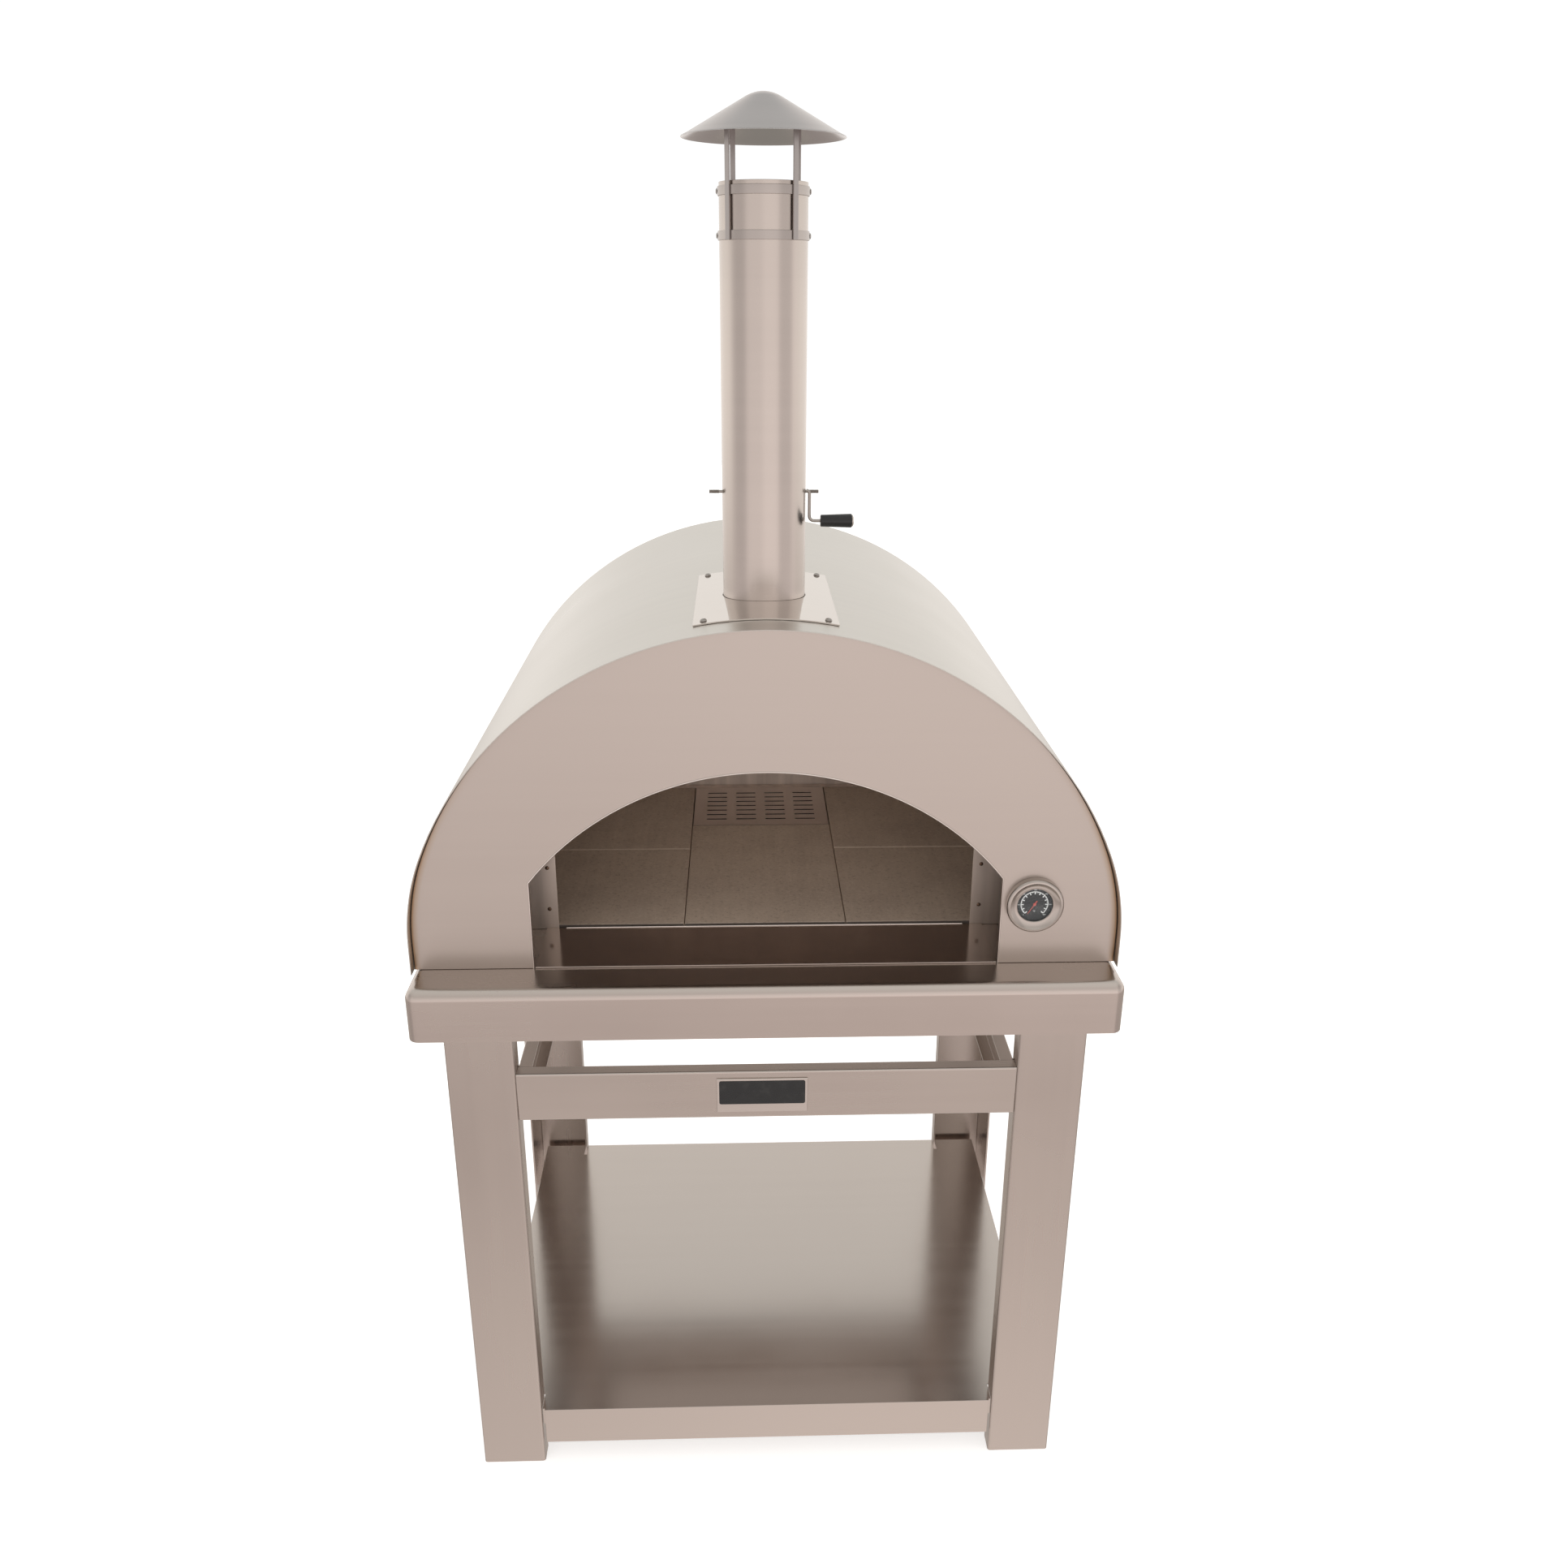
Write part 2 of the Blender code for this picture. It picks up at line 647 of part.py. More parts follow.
def build_grate(half, y0):
    """An ash grate that lifts out: a slotted plate on turned-down edges, standing on the board."""
    length = HEARTH_Y1 - y0
    bm = bmesh.new()
    bmesh.ops.create_cube(bm, size=1)
    bmesh.ops.scale(bm, verts=bm.verts[:], vec=(2 * half, length, TILE_THICKNESS))
    below = [face for face in bm.faces if face.normal.z < -0.5]
    bmesh.ops.delete(bm, geom=below, context="FACES_ONLY")
    mesh = bpy.data.meshes.new("ash_grate")
    bm.to_mesh(mesh)
    bm.free()
    grate = add_object("ash_grate", mesh, BRIGHT, (0, y0 + length / 2, TILE_TOP - TILE_THICKNESS / 2))
    sheet = grate.modifiers.new("Sheet", "SOLIDIFY")
    sheet.thickness = GRATE_SHEET
    sheet.offset = -1
    sheet.use_even_offset = True
    bm = bmesh.new()
    for column in range(GRATE_COLUMNS):
        for row in range(GRATE_ROWS):
            x = (column - (GRATE_COLUMNS - 1) / 2) * GRATE_COLUMN_PITCH
            y = (row - (GRATE_ROWS - 1) / 2) * GRATE_ROW_PITCH
            slot = bmesh.ops.create_cube(bm, size=1)["verts"]
            bmesh.ops.scale(bm, verts=slot, vec=(GRATE_SLOT, GRATE_SLOT_WIDTH, 3 * GRATE_SHEET))
            bmesh.ops.translate(bm, verts=slot, vec=(x, y, 0))
    slots = add_object(
        "grate_slots", mesh_of(bm, "grate_slots"), None, (0, y0 + length / 2, TILE_TOP), CUTTERS
    )
    boolean(grate, as_cutter(slots))


def build_sill():
    half = MOUTH_WIDTH / 2 - SILL_SIDE_GAP
    box(
        "sill_plate",
        (-half, half),
        (PANEL_Y0, CHAMBER_FRONT_Y0 - CLEARANCE),
        (BODY_FOOT, BODY_FOOT + SILL_SHEET),
        BRIGHT,
    )


# --- body -------------------------------------------------------------------------------------


def arch_sheet(name, line, y, thickness, mat):
    """An arched sheet between the pair y. The line is its outer face."""
    centre = (0, (y[0] + y[1]) / 2, 0)
    return folded(name, line, y[1] - y[0], thickness, mat, centre, 1, "Y")


def build_body(shell, chamber):
    inner = shell.line(SHELL_SHEET + CLEARANCE)
    shell_y = (SHELL_Y0, SHELL_Y1)
    outer_shell = smooth(arch_sheet("outer_shell", shell.line(), shell_y, SHELL_SHEET, STEEL))
    boolean(outer_shell, FLUE_CUT)
    mouth = mouth_line(MOUTH_WIDTH, MOUTH_SIDE, MOUTH_RISE)
    outline = inner + list(reversed(mouth))
    front_panel = plate("front_panel", [outline], (PANEL_Y0, PANEL_Y1), STEEL)
    return_line = mouth_line(MOUTH_WIDTH, MOUTH_SIDE, MOUTH_RISE, PANEL_SHEET)
    return_y = (PANEL_Y0, PANEL_Y0 + MOUTH_RETURN)
    returned = arch_sheet("mouth_return", return_line, return_y, PANEL_SHEET, None)
    OVEN.objects.unlink(returned)
    CUTTERS.objects.link(as_cutter(returned))
    boolean(front_panel, returned, "UNION")
    boolean(front_panel, PROBE_CUT)
    plate("rear_panel", [inner], (REAR_PANEL_Y0, REAR_PANEL_Y1), STEEL)
    narrow = mouth_line(CHAMBER_MOUTH_WIDTH, CHAMBER_MOUTH_SIDE, CHAMBER_MOUTH_RISE)
    outline = inner + list(reversed(narrow))
    wall_y = (CHAMBER_FRONT_Y0, CHAMBER_FRONT_Y1)
    chamber_front = plate("chamber_front_wall", [outline], wall_y, STEEL)
    boolean(chamber_front, PROBE_CUT)
    build_chamber(shell, chamber)


def build_chamber(shell, chamber):
    rear = CHAMBER_REAR_Y0 - CLEARANCE
    outer = chamber.line(-CHAMBER_SHEET)
    vault = smooth(arch_sheet("chamber_vault", outer, (HEARTH_Y0, rear), CHAMBER_SHEET, STEEL))
    boolean(vault, FLUE_SEAT)
    plate("chamber_rear_wall", [outer], (CHAMBER_REAR_Y0, CHAMBER_REAR_Y1), STEEL)
    wool_outer = shell.line(SHELL_SHEET + INSULATION_GAP)
    wool_inner = chamber.line(-CHAMBER_SHEET - CLEARANCE)
    ring = wool_outer + list(reversed(wool_inner))
    blanket = plate("insulation_blanket", [ring], (HEARTH_Y0, CHAMBER_REAR_Y1), WOOL)
    boolean(blanket, FLUE_CUT)
    back = (CHAMBER_REAR_Y1 + CLEARANCE, REAR_PANEL_Y0 - CLEARANCE)
    plate("insulation_rear", [wool_outer], back, WOOL)


# --- flue -------------------------------------------------------------------------------------


def build_flue(shell):
    foot = CHAMBER_CROWN - CHAMBER_SHEET
    pipe = turned(
        "flue_pipe",
        [(FLUE_INNER, FLUE_TOP), (FLUE_RADIUS, FLUE_TOP), (FLUE_RADIUS, foot), (FLUE_INNER, foot)],
        (0, FLUE_Y, 0),
        BRUSHED,
        48,
    )
    across = 3 * FLUE_RADIUS
    shaft_hole = SHAFT_RADIUS + RUNNING
    boolean(pipe, cutter_rod("shaft_hole", shaft_hole, across, (0, FLUE_Y, DAMPER_Z), "X", 16))
    for drop in (UPPER_BAND_DROP, LOWER_BAND_DROP):
        z = FLUE_TOP - drop - BAND_HEIGHT / 2
        hole = BAND_SCREW_RADIUS + BOLT_PLAY
        cut = cutter_rod("band_screw_hole", hole, across, (0, FLUE_Y, z), "X", 12)
        boolean(pipe, cut)
    build_saddle(shell)


def build_saddle(shell):
    """A curved plate round the flue, on the shell's crown, held by four domed bolts."""
    radius = shell.crown_radius + CLEARANCE
    centre_z = BODY_FOOT + shell.crown_centre
    lean = asin(SADDLE_WIDTH / 2 / radius) * 180 / pi
    line = arc((0, centre_z), radius + SADDLE_SHEET, 90 - lean, 90 + lean, 12)
    y = (FLUE_Y - SADDLE_LENGTH / 2, FLUE_Y + SADDLE_LENGTH / 2)
    saddle = smooth(arch_sheet("flue_saddle", line, y, SADDLE_SHEET, BRIGHT))
    boolean(saddle, FLUE_CUT)
    side = SADDLE_WIDTH / 2 - BOLT_EDGE
    seat = radius + SADDLE_SHEET + CLEARANCE
    tilt = asin(side / seat)
    head = [
        (0, BOLT_HEAD_HEIGHT),
        (BOLT_HEAD_RADIUS * 0.5, BOLT_HEAD_HEIGHT * 0.87),
        (BOLT_HEAD_RADIUS * 0.87, BOLT_HEAD_HEIGHT * 0.5),
        (BOLT_HEAD_RADIUS, 0),
        (BOLT_RADIUS, 0),
        (BOLT_RADIUS, -BOLT_LENGTH),
        (0, -BOLT_LENGTH),
    ]
    number = 0
    for y in (y[0] + BOLT_EDGE, y[1] - BOLT_EDGE):
        for hand in (-1, 1):
            number += 1
            place = (hand * seat * sin(tilt), y, centre_z + seat * cos(tilt))
            rotation = (0, hand * tilt, 0)
            turned(f"saddle_bolt_{number}", head, place, BRIGHT, 16, rotation, closed=False)
            hole = BOLT_RADIUS + BOLT_PLAY
            cut = cutter_rod(f"bolt_hole_{number}", hole, 4 * BOLT_LENGTH, place, sides=12)
            cut.rotation_euler = rotation
            boolean(saddle, cut)
            boolean(bpy.data.objects["outer_shell"], cut)


# --- damper -----------------------------------------------------------------------------------


def build_damper():
    """A butterfly on a shaft through the flue, turned by a crank that hangs down when it is open."""
    hinge = bpy.data.objects.new("damper_axis", None)
    OVEN.objects.link(hinge)
    hinge.location = (0, FLUE_Y, DAMPER_Z)
    end = FLUE_RADIUS + SHAFT_OUT
    shaft = rod("damper_shaft", SHAFT_RADIUS, 2 * end, (0, 0, 0), BRIGHT, "X", 16)
    blade_y = SHAFT_RADIUS + CLEARANCE + DAMPER_SHEET / 2
    blade_radius = FLUE_INNER - DAMPER_EDGE_GAP
    blade = rod("damper_blade", blade_radius, DAMPER_SHEET, (0, blade_y, 0), STEEL, "Y", 48)
    moving = [shaft, blade]
    for number, hand in ((1, -1), (2, 1)):
        x = hand * DAMPER_SCREW_PITCH / 2
        top = SHAFT_RADIUS + CLEARANCE
        grip = blade_y + DAMPER_SHEET / 2 + 2 * CLEARANCE
        screw = turned(
            f"damper_screw_{number}",
            [
                (0, top + DAMPER_SCREW_HEAD / 2),
                (DAMPER_SCREW_HEAD, top + DAMPER_SCREW_HEAD / 2),
                (DAMPER_SCREW_HEAD, top),
                (DAMPER_SCREW_RADIUS, top),
                (DAMPER_SCREW_RADIUS, -grip),
                (0, -grip),
            ],
            (x, 0, 0),
            BRIGHT,
            12,
            (pi / 2, 0, 0),
            closed=False,
        )
        bore = DAMPER_SCREW_RADIUS + CLEARANCE / 2
        hole = cutter_rod(f"damper_screw_hole_{number}", bore, 4 * grip, (x, 0, 0), "Y", 12)
        hole.parent = hinge
        boolean(shaft, hole)
        boolean(blade, hole)
        moving.append(screw)
    moving += build_crank()
    for obj in moving:
        obj.parent = hinge


def build_crank():
    """Wire welded along the front of the shaft's end, down to a tapered grip with a bright end cap."""
    y = -SHAFT_RADIUS - CRANK_RADIUS - CLEARANCE
    start = FLUE_RADIUS + 4 * CLEARANCE
    arm = FLUE_RADIUS + CRANK_ARM_OUT
    grip = FLUE_RADIUS + GRIP_OUT
    bend = min(CRANK_BEND, arm - start)
    foot = CRANK_RISE - CRANK_DROP
    top = arc((arm - bend, CRANK_RISE - bend), bend, 90, 0, 5)
    low = arc((arm + CRANK_BEND, foot + CRANK_BEND), CRANK_BEND, 180, 270, 5)
    if bend == arm - start:
        # The wire turns down straight away, so the bend's first point is the route's start.
        top = top[1:]
    route = [(start, CRANK_RISE)] + top + low + [(grip + CRANK_IN_GRIP, foot)]
    curve = bpy.data.curves.new("damper_crank", "CURVE")
    curve.dimensions = "3D"
    curve.bevel_depth = CRANK_RADIUS
    curve.bevel_resolution = 2
    curve.use_fill_caps = True
    spline = curve.splines.new("POLY")
    spline.points.add(len(route) - 1)
    for point, (px, pz) in zip(spline.points, route):
        point.co = (px, y, pz, 1)
    crank = meshed(add_object("crank_route", curve), "damper_crank", BRIGHT)
    place = (grip, y, foot)
    along = (0, pi / 2, 0)
    bore = CRANK_RADIUS + CLEARANCE
    handle = turned(
        "damper_grip",
        [
            (bore, GRIP_LENGTH),
            (GRIP_FAR_RADIUS - GRIP_ROUND, GRIP_LENGTH),
            (GRIP_FAR_RADIUS, GRIP_LENGTH - GRIP_ROUND),
            (GRIP_NEAR_RADIUS, GRIP_ROUND),
            (GRIP_NEAR_RADIUS - GRIP_ROUND, 0),
            (bore, 0),
        ],
        place,
        GRIP,
        24,
        along,
    )
    rim = GRIP_FAR_RADIUS - GRIP_ROUND
    seat = GRIP_LENGTH + CLEARANCE
    cap = turned(
        "grip_end_cap",
        [
            (0, seat + CAP_DOME),
            (rim * 0.5, seat + CAP_DOME * 0.87),
            (rim * 0.87, seat + CAP_DOME * 0.5),
            (rim, seat),
            (CRANK_RADIUS, seat),
            (CRANK_RADIUS, seat - CAP_SPIGOT),
            (0, seat - CAP_SPIGOT),
        ],
        place,
        BRIGHT,
        24,
        along,
        closed=False,
    )
    return [crank, handle, cap]


# --- rain cap ---------------------------------------------------------------------------------


def build_rain_cap():
    place = (0, FLUE_Y, CAP_RIM)
    slope = CAP_CONE / CAP_RADIUS
    shoulder = CAP_CONE - CAP_TIP_RADIUS * slope
    tip = CAP_CONE - CAP_TIP_RADIUS * slope / 2
    profile = [
        (0, tip),
        (CAP_TIP_RADIUS * 0.6, tip - CAP_TIP_RADIUS * slope * 0.15),
        (CAP_TIP_RADIUS, shoulder),
        (CAP_RADIUS, 0),
        (CAP_RADIUS - CAP_SHEET, -CAP_SHEET / 2),
        (CAP_TIP_RADIUS, shoulder - CAP_SHEET),
        (0, tip - CAP_SHEET),
    ]
    turned("rain_cap", profile, place, BRUSHED, 48, closed=False)
    low = FLUE_TOP - LOWER_BAND_DROP - BAND_HEIGHT
    outer = STRUT_INNER + STRUT_THICKNESS
    reach = sqrt(outer**2 + (STRUT_WIDTH / 2) ** 2)
    high = CAP_RIM + shoulder - CAP_SHEET - (reach - CAP_TIP_RADIUS) * slope - 2 * CLEARANCE
    for number, turn in enumerate((45, 135, 225, 315), 1):
        strut = box(
            f"cap_strut_{number}",
            (STRUT_INNER, outer),
            (-STRUT_WIDTH / 2, STRUT_WIDTH / 2),
            (low, high),
            BRUSHED,
        )
        middle = (STRUT_INNER + outer) / 2
        angle = (turn + STRUT_TURN) * pi / 180
        strut.rotation_euler = (0, 0, angle)
        strut.location = (middle * cos(angle), FLUE_Y + middle * sin(angle), (low + high) / 2)
    for name, drop in (("upper", UPPER_BAND_DROP), ("lower", LOWER_BAND_DROP)):
        build_band(name, FLUE_TOP - drop)


def build_band(name, top):
    low = top - BAND_HEIGHT
    band = turned(
        f"cap_band_{name}",
        [(BAND_INNER, top), (BAND_OUTER, top), (BAND_OUTER, low), (BAND_INNER, low)],
        (0, FLUE_Y, 0),
        BRUSHED,
        48,
    )
    z = (top + low) / 2
    hole = BAND_SCREW_RADIUS + BOLT_PLAY
    cut = cutter_rod(f"band_hole_{name}", hole, 3 * FLUE_RADIUS, (0, FLUE_Y, z), "X", 12)
    boolean(band, cut)
    profile = [
        (0, BAND_SCREW_HEAD_HEIGHT),
        (BAND_SCREW_HEAD * 0.7, BAND_SCREW_HEAD_HEIGHT * 0.9),
        (BAND_SCREW_HEAD, 0),
        (BAND_SCREW_RADIUS, 0),
        (BAND_SCREW_RADIUS, -BAND_SCREW_LENGTH),
        (0, -BAND_SCREW_LENGTH),
    ]
    seat = BAND_OUTER + CLEARANCE
    for side, hand in (("left", -1), ("right", 1)):
        turned(
            f"band_screw_{name}_{side}", profile, (hand * seat, FLUE_Y, z), BRIGHT, 12,
            (0, hand * pi / 2, 0), closed=False,
        )


# --- thermometer ------------------------------------------------------------------------------


def build_thermometer():
    """Bezel, dial, needle and lens on the front panel, and a probe through it to the chamber."""
    hub = bpy.data.objects.new("thermometer_axis", None)
    OVEN.objects.link(hub)
    hub.location = (THERMOMETER_X, PANEL_Y0, THERMOMETER_Z)
    hub.rotation_euler = (pi / 2, 0, 0)
    back = CLEARANCE
    cup = DIAL_RADIUS + CLEARANCE
    lens_top = LENS_SEAT + LENS_THICKNESS + CLEARANCE
    round_line = arc((BEZEL_RADIUS - BEZEL_ROUND, BEZEL_HEIGHT - BEZEL_ROUND), BEZEL_ROUND, 90, 0, 3)
    bezel = [(cup, lens_top), (DIAL_WINDOW, lens_top), (DIAL_WINDOW, BEZEL_INNER_HEIGHT)]
    bezel += round_line + [(BEZEL_RADIUS, back), (cup, back)]
    pieces = [turned("thermometer_bezel", bezel, (0, 0, 0), BRIGHT, 40)]
    flange_top = back + PROBE_FLANGE
    tip = PORCH_DEPTH + PROBE_REACH
    probe = [
        (NEEDLE_PIN + NEEDLE_PIN_PLAY, flange_top),
        (DIAL_RADIUS, flange_top),
        (DIAL_RADIUS, back),
        (PROBE_RADIUS, back),
        (PROBE_RADIUS, -tip + PROBE_RADIUS / 2),
        (PROBE_RADIUS / 2, -tip),
        (0, -tip),
        (0, -PROBE_FLANGE),
        (NEEDLE_PIN + NEEDLE_PIN_PLAY, -PROBE_FLANGE),
    ]
    pieces.append(turned("thermometer_probe", probe, (0, 0, 0), BRIGHT, 24, closed=False))
    join_ends(pieces[-1])
    dial_low = flange_top + CLEARANCE
    dial_top = dial_low + DIAL_SHEET
    hole = NEEDLE_PIN + NEEDLE_PIN_PLAY
    dial = [(hole, dial_top), (DIAL_RADIUS, dial_top), (DIAL_RADIUS, dial_low), (hole, dial_low)]
    pieces.append(turned("thermometer_dial", dial, (0, 0, 0), DIAL, 32))
    lens_middle = (0, 0, LENS_SEAT + LENS_THICKNESS / 2)
    pieces.append(rod("thermometer_lens", DIAL_RADIUS, LENS_THICKNESS, lens_middle, GLASS, sides=32))
    pieces.append(build_needle(dial_top))
    nut_z = -PANEL_SHEET - CLEARANCE - NUT_HEIGHT / 2
    nut = rod("thermometer_nut", NUT_RADIUS, NUT_HEIGHT, (0, 0, nut_z), BRIGHT, sides=6)
    bore = cutter_rod("nut_bore", PROBE_RADIUS + CLEARANCE, 3 * NUT_HEIGHT, (0, 0, nut_z), sides=16)
    bore.parent = hub
    boolean(nut, bore)
    pieces.append(nut)
    for piece in pieces:
        piece.parent = hub


def join_ends(obj):
    """Joins the profile's last point to its first, for the wall of the pin's bore."""
    mesh = obj.data
    bm = bmesh.new()
    bm.from_mesh(mesh)
    bm.verts.ensure_lookup_table()
    bm.edges.new((bm.verts[-1], bm.verts[0]))
    bm.to_mesh(mesh)
    bm.free()


def build_needle(dial_top):
    """Pointer, hub and pin in one, on the thermometer's axis."""
    low = dial_top + 2 * CLEARANCE
    bm = bmesh.new()
    blade = bmesh.ops.create_cube(bm, size=1)["verts"]
    length = NEEDLE_LENGTH + NEEDLE_TAIL
    bmesh.ops.scale(bm, verts=blade, vec=(NEEDLE_WIDTH, length, NEEDLE_SHEET))
    bmesh.ops.translate(bm, verts=blade, vec=(0, NEEDLE_LENGTH - length / 2, low + NEEDLE_SHEET / 2))
    for vert in blade:
        if vert.co.y > 0:
            vert.co.x *= 0.35
    bmesh.ops.rotate(bm, verts=blade, matrix=Matrix.Rotation(-NEEDLE_REST * pi / 180, 3, "Z"))
    needle = add_object("thermometer_needle", mesh_of(bm, "thermometer_needle"), RED)
    pin_low = -PROBE_FLANGE / 2
    pin = turned(
        "needle_pin",
        [
            (0, low + 1.6 * NEEDLE_SHEET),
            (NEEDLE_HUB, low + 1.6 * NEEDLE_SHEET),
            (NEEDLE_HUB, low),
            (NEEDLE_PIN, low),
            (NEEDLE_PIN, pin_low),
            (0, pin_low),
        ],
        (0, 0, 0),
        None,
        16,
        closed=False,
    )
    OVEN.objects.unlink(pin)
    CUTTERS.objects.link(as_cutter(pin))
    pin.parent = bpy.data.objects["thermometer_axis"]
    boolean(needle, pin, "UNION")
    return needle


# --- build ------------------------------------------------------------------------------------

OVEN = cleared_collection("wood_fired_pizza_oven")
CUTTERS = new_collection("cutters")

STEEL = material("brushed_stainless", (0.66, 0.62, 0.58), 0.34, 1.0)
BRUSHED = material("brushed_pipe", (0.64, 0.60, 0.57), 0.28, 1.0)
BRIGHT = material("bright_stainless", (0.78, 0.75, 0.72), 0.14, 1.0)
DARK_STEEL = material("dark_pan", (0.20, 0.18, 0.17), 0.50, 1.0)
TILE = material("refractory_tile", (0.33, 0.28, 0.23), 0.60, 0.0)
BOARD = material("insulating_board", (0.72, 0.70, 0.66), 0.90, 0.0)
WOOL = material("ceramic_wool", (0.86, 0.85, 0.82), 0.95, 0.0)
GRIP = material("black_grip", (0.02, 0.02, 0.022), 0.35, 0.0)
DIAL = material("dial_face", (0.015, 0.015, 0.017), 0.45, 0.0)
RED = material("needle_red", (0.55, 0.05, 0.04), 0.40, 0.0)
GLASS = material("dial_glass", (0.90, 0.93, 0.94), 0.03, 0.0)

SHELL_ARCH = Arch(SHELL_HALF, ARCH_RISE, ARCH_STRAIGHT, ARCH_SIDE_RADIUS)
CHAMBER_ARCH = Arch(CHAMBER_WIDTH / 2, CHAMBER_RISE, CHAMBER_STRAIGHT, CHAMBER_SIDE_RADIUS)
FLUE_CUT = cutter_rod("flue_cut", FLUE_HOLE, SHELL_CROWN, (0, FLUE_Y, SHELL_CROWN), sides=48)
SEAT_RADIUS = FLUE_RADIUS + CLEARANCE
FLUE_SEAT = cutter_rod("flue_seat", SEAT_RADIUS, CHAMBER_RISE, (0, FLUE_Y, CHAMBER_CROWN), sides=48)
PROBE_CUT = cutter_rod(
    "probe_cut",
    PROBE_RADIUS + BOLT_PLAY,
    2 * (PORCH_DEPTH + PROBE_REACH),
    (THERMOMETER_X, PANEL_Y0, THERMOMETER_Z),
    "Y",
    16,
)

build_legs()
build_rails()
build_shelf()
build_badge()
build_worktop()
build_hearth()
build_sill()
build_body(SHELL_ARCH, CHAMBER_ARCH)
build_flue(SHELL_ARCH)
build_damper()
build_rain_cap()
build_thermometer()
bpy.context.view_layer.update()
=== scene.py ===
"""Wood fired pizza oven: finished pieces, materials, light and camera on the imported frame."""

from math import asin, cos, pi, radians, sin, tan

import bmesh
import bpy
from mathutils import Matrix, Vector


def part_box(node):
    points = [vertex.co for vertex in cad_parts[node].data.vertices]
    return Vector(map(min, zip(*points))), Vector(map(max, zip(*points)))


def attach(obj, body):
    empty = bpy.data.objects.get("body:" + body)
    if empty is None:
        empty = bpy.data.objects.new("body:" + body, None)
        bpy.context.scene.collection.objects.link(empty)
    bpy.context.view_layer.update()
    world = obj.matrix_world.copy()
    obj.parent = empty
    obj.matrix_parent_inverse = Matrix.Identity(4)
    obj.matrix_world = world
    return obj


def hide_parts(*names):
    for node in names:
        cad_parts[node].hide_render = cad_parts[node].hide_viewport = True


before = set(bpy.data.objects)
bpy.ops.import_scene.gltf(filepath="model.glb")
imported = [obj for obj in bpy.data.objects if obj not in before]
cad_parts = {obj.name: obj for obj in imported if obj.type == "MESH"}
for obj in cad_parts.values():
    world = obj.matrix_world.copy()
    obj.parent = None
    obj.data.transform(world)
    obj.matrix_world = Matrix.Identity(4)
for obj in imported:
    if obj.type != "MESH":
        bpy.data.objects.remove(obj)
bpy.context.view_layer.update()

MM = 0.001

# The two arches above the worktop: straight foot and side radius. The rest comes from the boxes.
SHELL_STRAIGHT = 0.044
SHELL_SIDE_RADIUS = 0.347
CHAMBER_STRAIGHT = 0.040
CHAMBER_SIDE_RADIUS = 0.270
MOUTH_HALF = 0.330
MOUTH_SIDE = 0.1325
MOUTH_RISE = 0.293
LIP_ROUND = 0.015
CAP_CONE = 0.0598
CAP_NOSE = 26 * MM
SHEET = 1.5 * MM
SHEET_GAP = 0.3 * MM
SMOOTH_ANGLE = 40
SLOT_MARGIN = 8 * MM
SILL_HEM_HALF = 0.298
RIVET_X = 0.322
RIVET_HEIGHTS = (0.033, 0.100)

FLOOR_SIZE = 12
FLOOR_GLOW = 0.6
WHITE_GLOW = 1.05
LENS_MM = 30.35
SENSOR_MM = 36.0
CAMERA_PLACE = (-0.034, -2.0663, 1.7696)
CAMERA_TURN = (-0.0342, -0.3618, 0.0045)
# What the steel mirrors in front, from straight down (0) through level (0.5) to straight up (1)
FRONT_GLOW = (
    (0.0, (0.90, 0.825, 0.785)),
    (0.16, (0.90, 0.82, 0.775)),
    (0.21, (0.55, 0.485, 0.455)),
    (0.26, (0.66, 0.58, 0.55)),
    (0.34, (1.09, 0.99, 0.955)),
    (0.41, (1.03, 0.955, 0.93)),
    (0.48, (0.99, 0.925, 0.895)),
    (0.60, (0.92, 0.87, 0.84)),
    (0.75, (0.70, 0.665, 0.64)),
    (1.0, (0.80, 0.80, 0.77)),
)
# The same behind the oven, where the studio is brightest at level height
BACK_GLOW = (
    (0.0, (0.50, 0.46, 0.43)),
    (0.35, (0.56, 0.51, 0.47)),
    (0.41, (0.98, 0.93, 0.89)),
    (0.45, (1.20, 1.15, 1.10)),
    (0.49, (1.20, 1.15, 1.10)),
    (0.55, (0.96, 0.93, 0.89)),
    (0.68, (1.00, 0.97, 0.93)),
    (0.80, (0.90, 0.885, 0.85)),
    (0.87, (0.74, 0.76, 0.74)),
    (1.0, (0.80, 0.81, 0.78)),
)
# What the front half is multiplied by, from the far left (0) to the far right (1)
SIDE_GLOW = (
    (0.09, (0.70, 0.70, 0.70)),
    (0.16, (0.98, 0.98, 0.98)),
    (0.42, (0.98, 0.98, 0.98)),
    (0.52, (1.10, 1.10, 1.10)),
    (0.79, (1.10, 1.10, 1.10)),
    (0.84, (0.80, 0.80, 0.80)),
    (0.98, (0.80, 0.80, 0.80)),
    (1.0, (1.15, 1.15, 1.15)),
)


# --- shader values ----------------------------------------------------------------------------


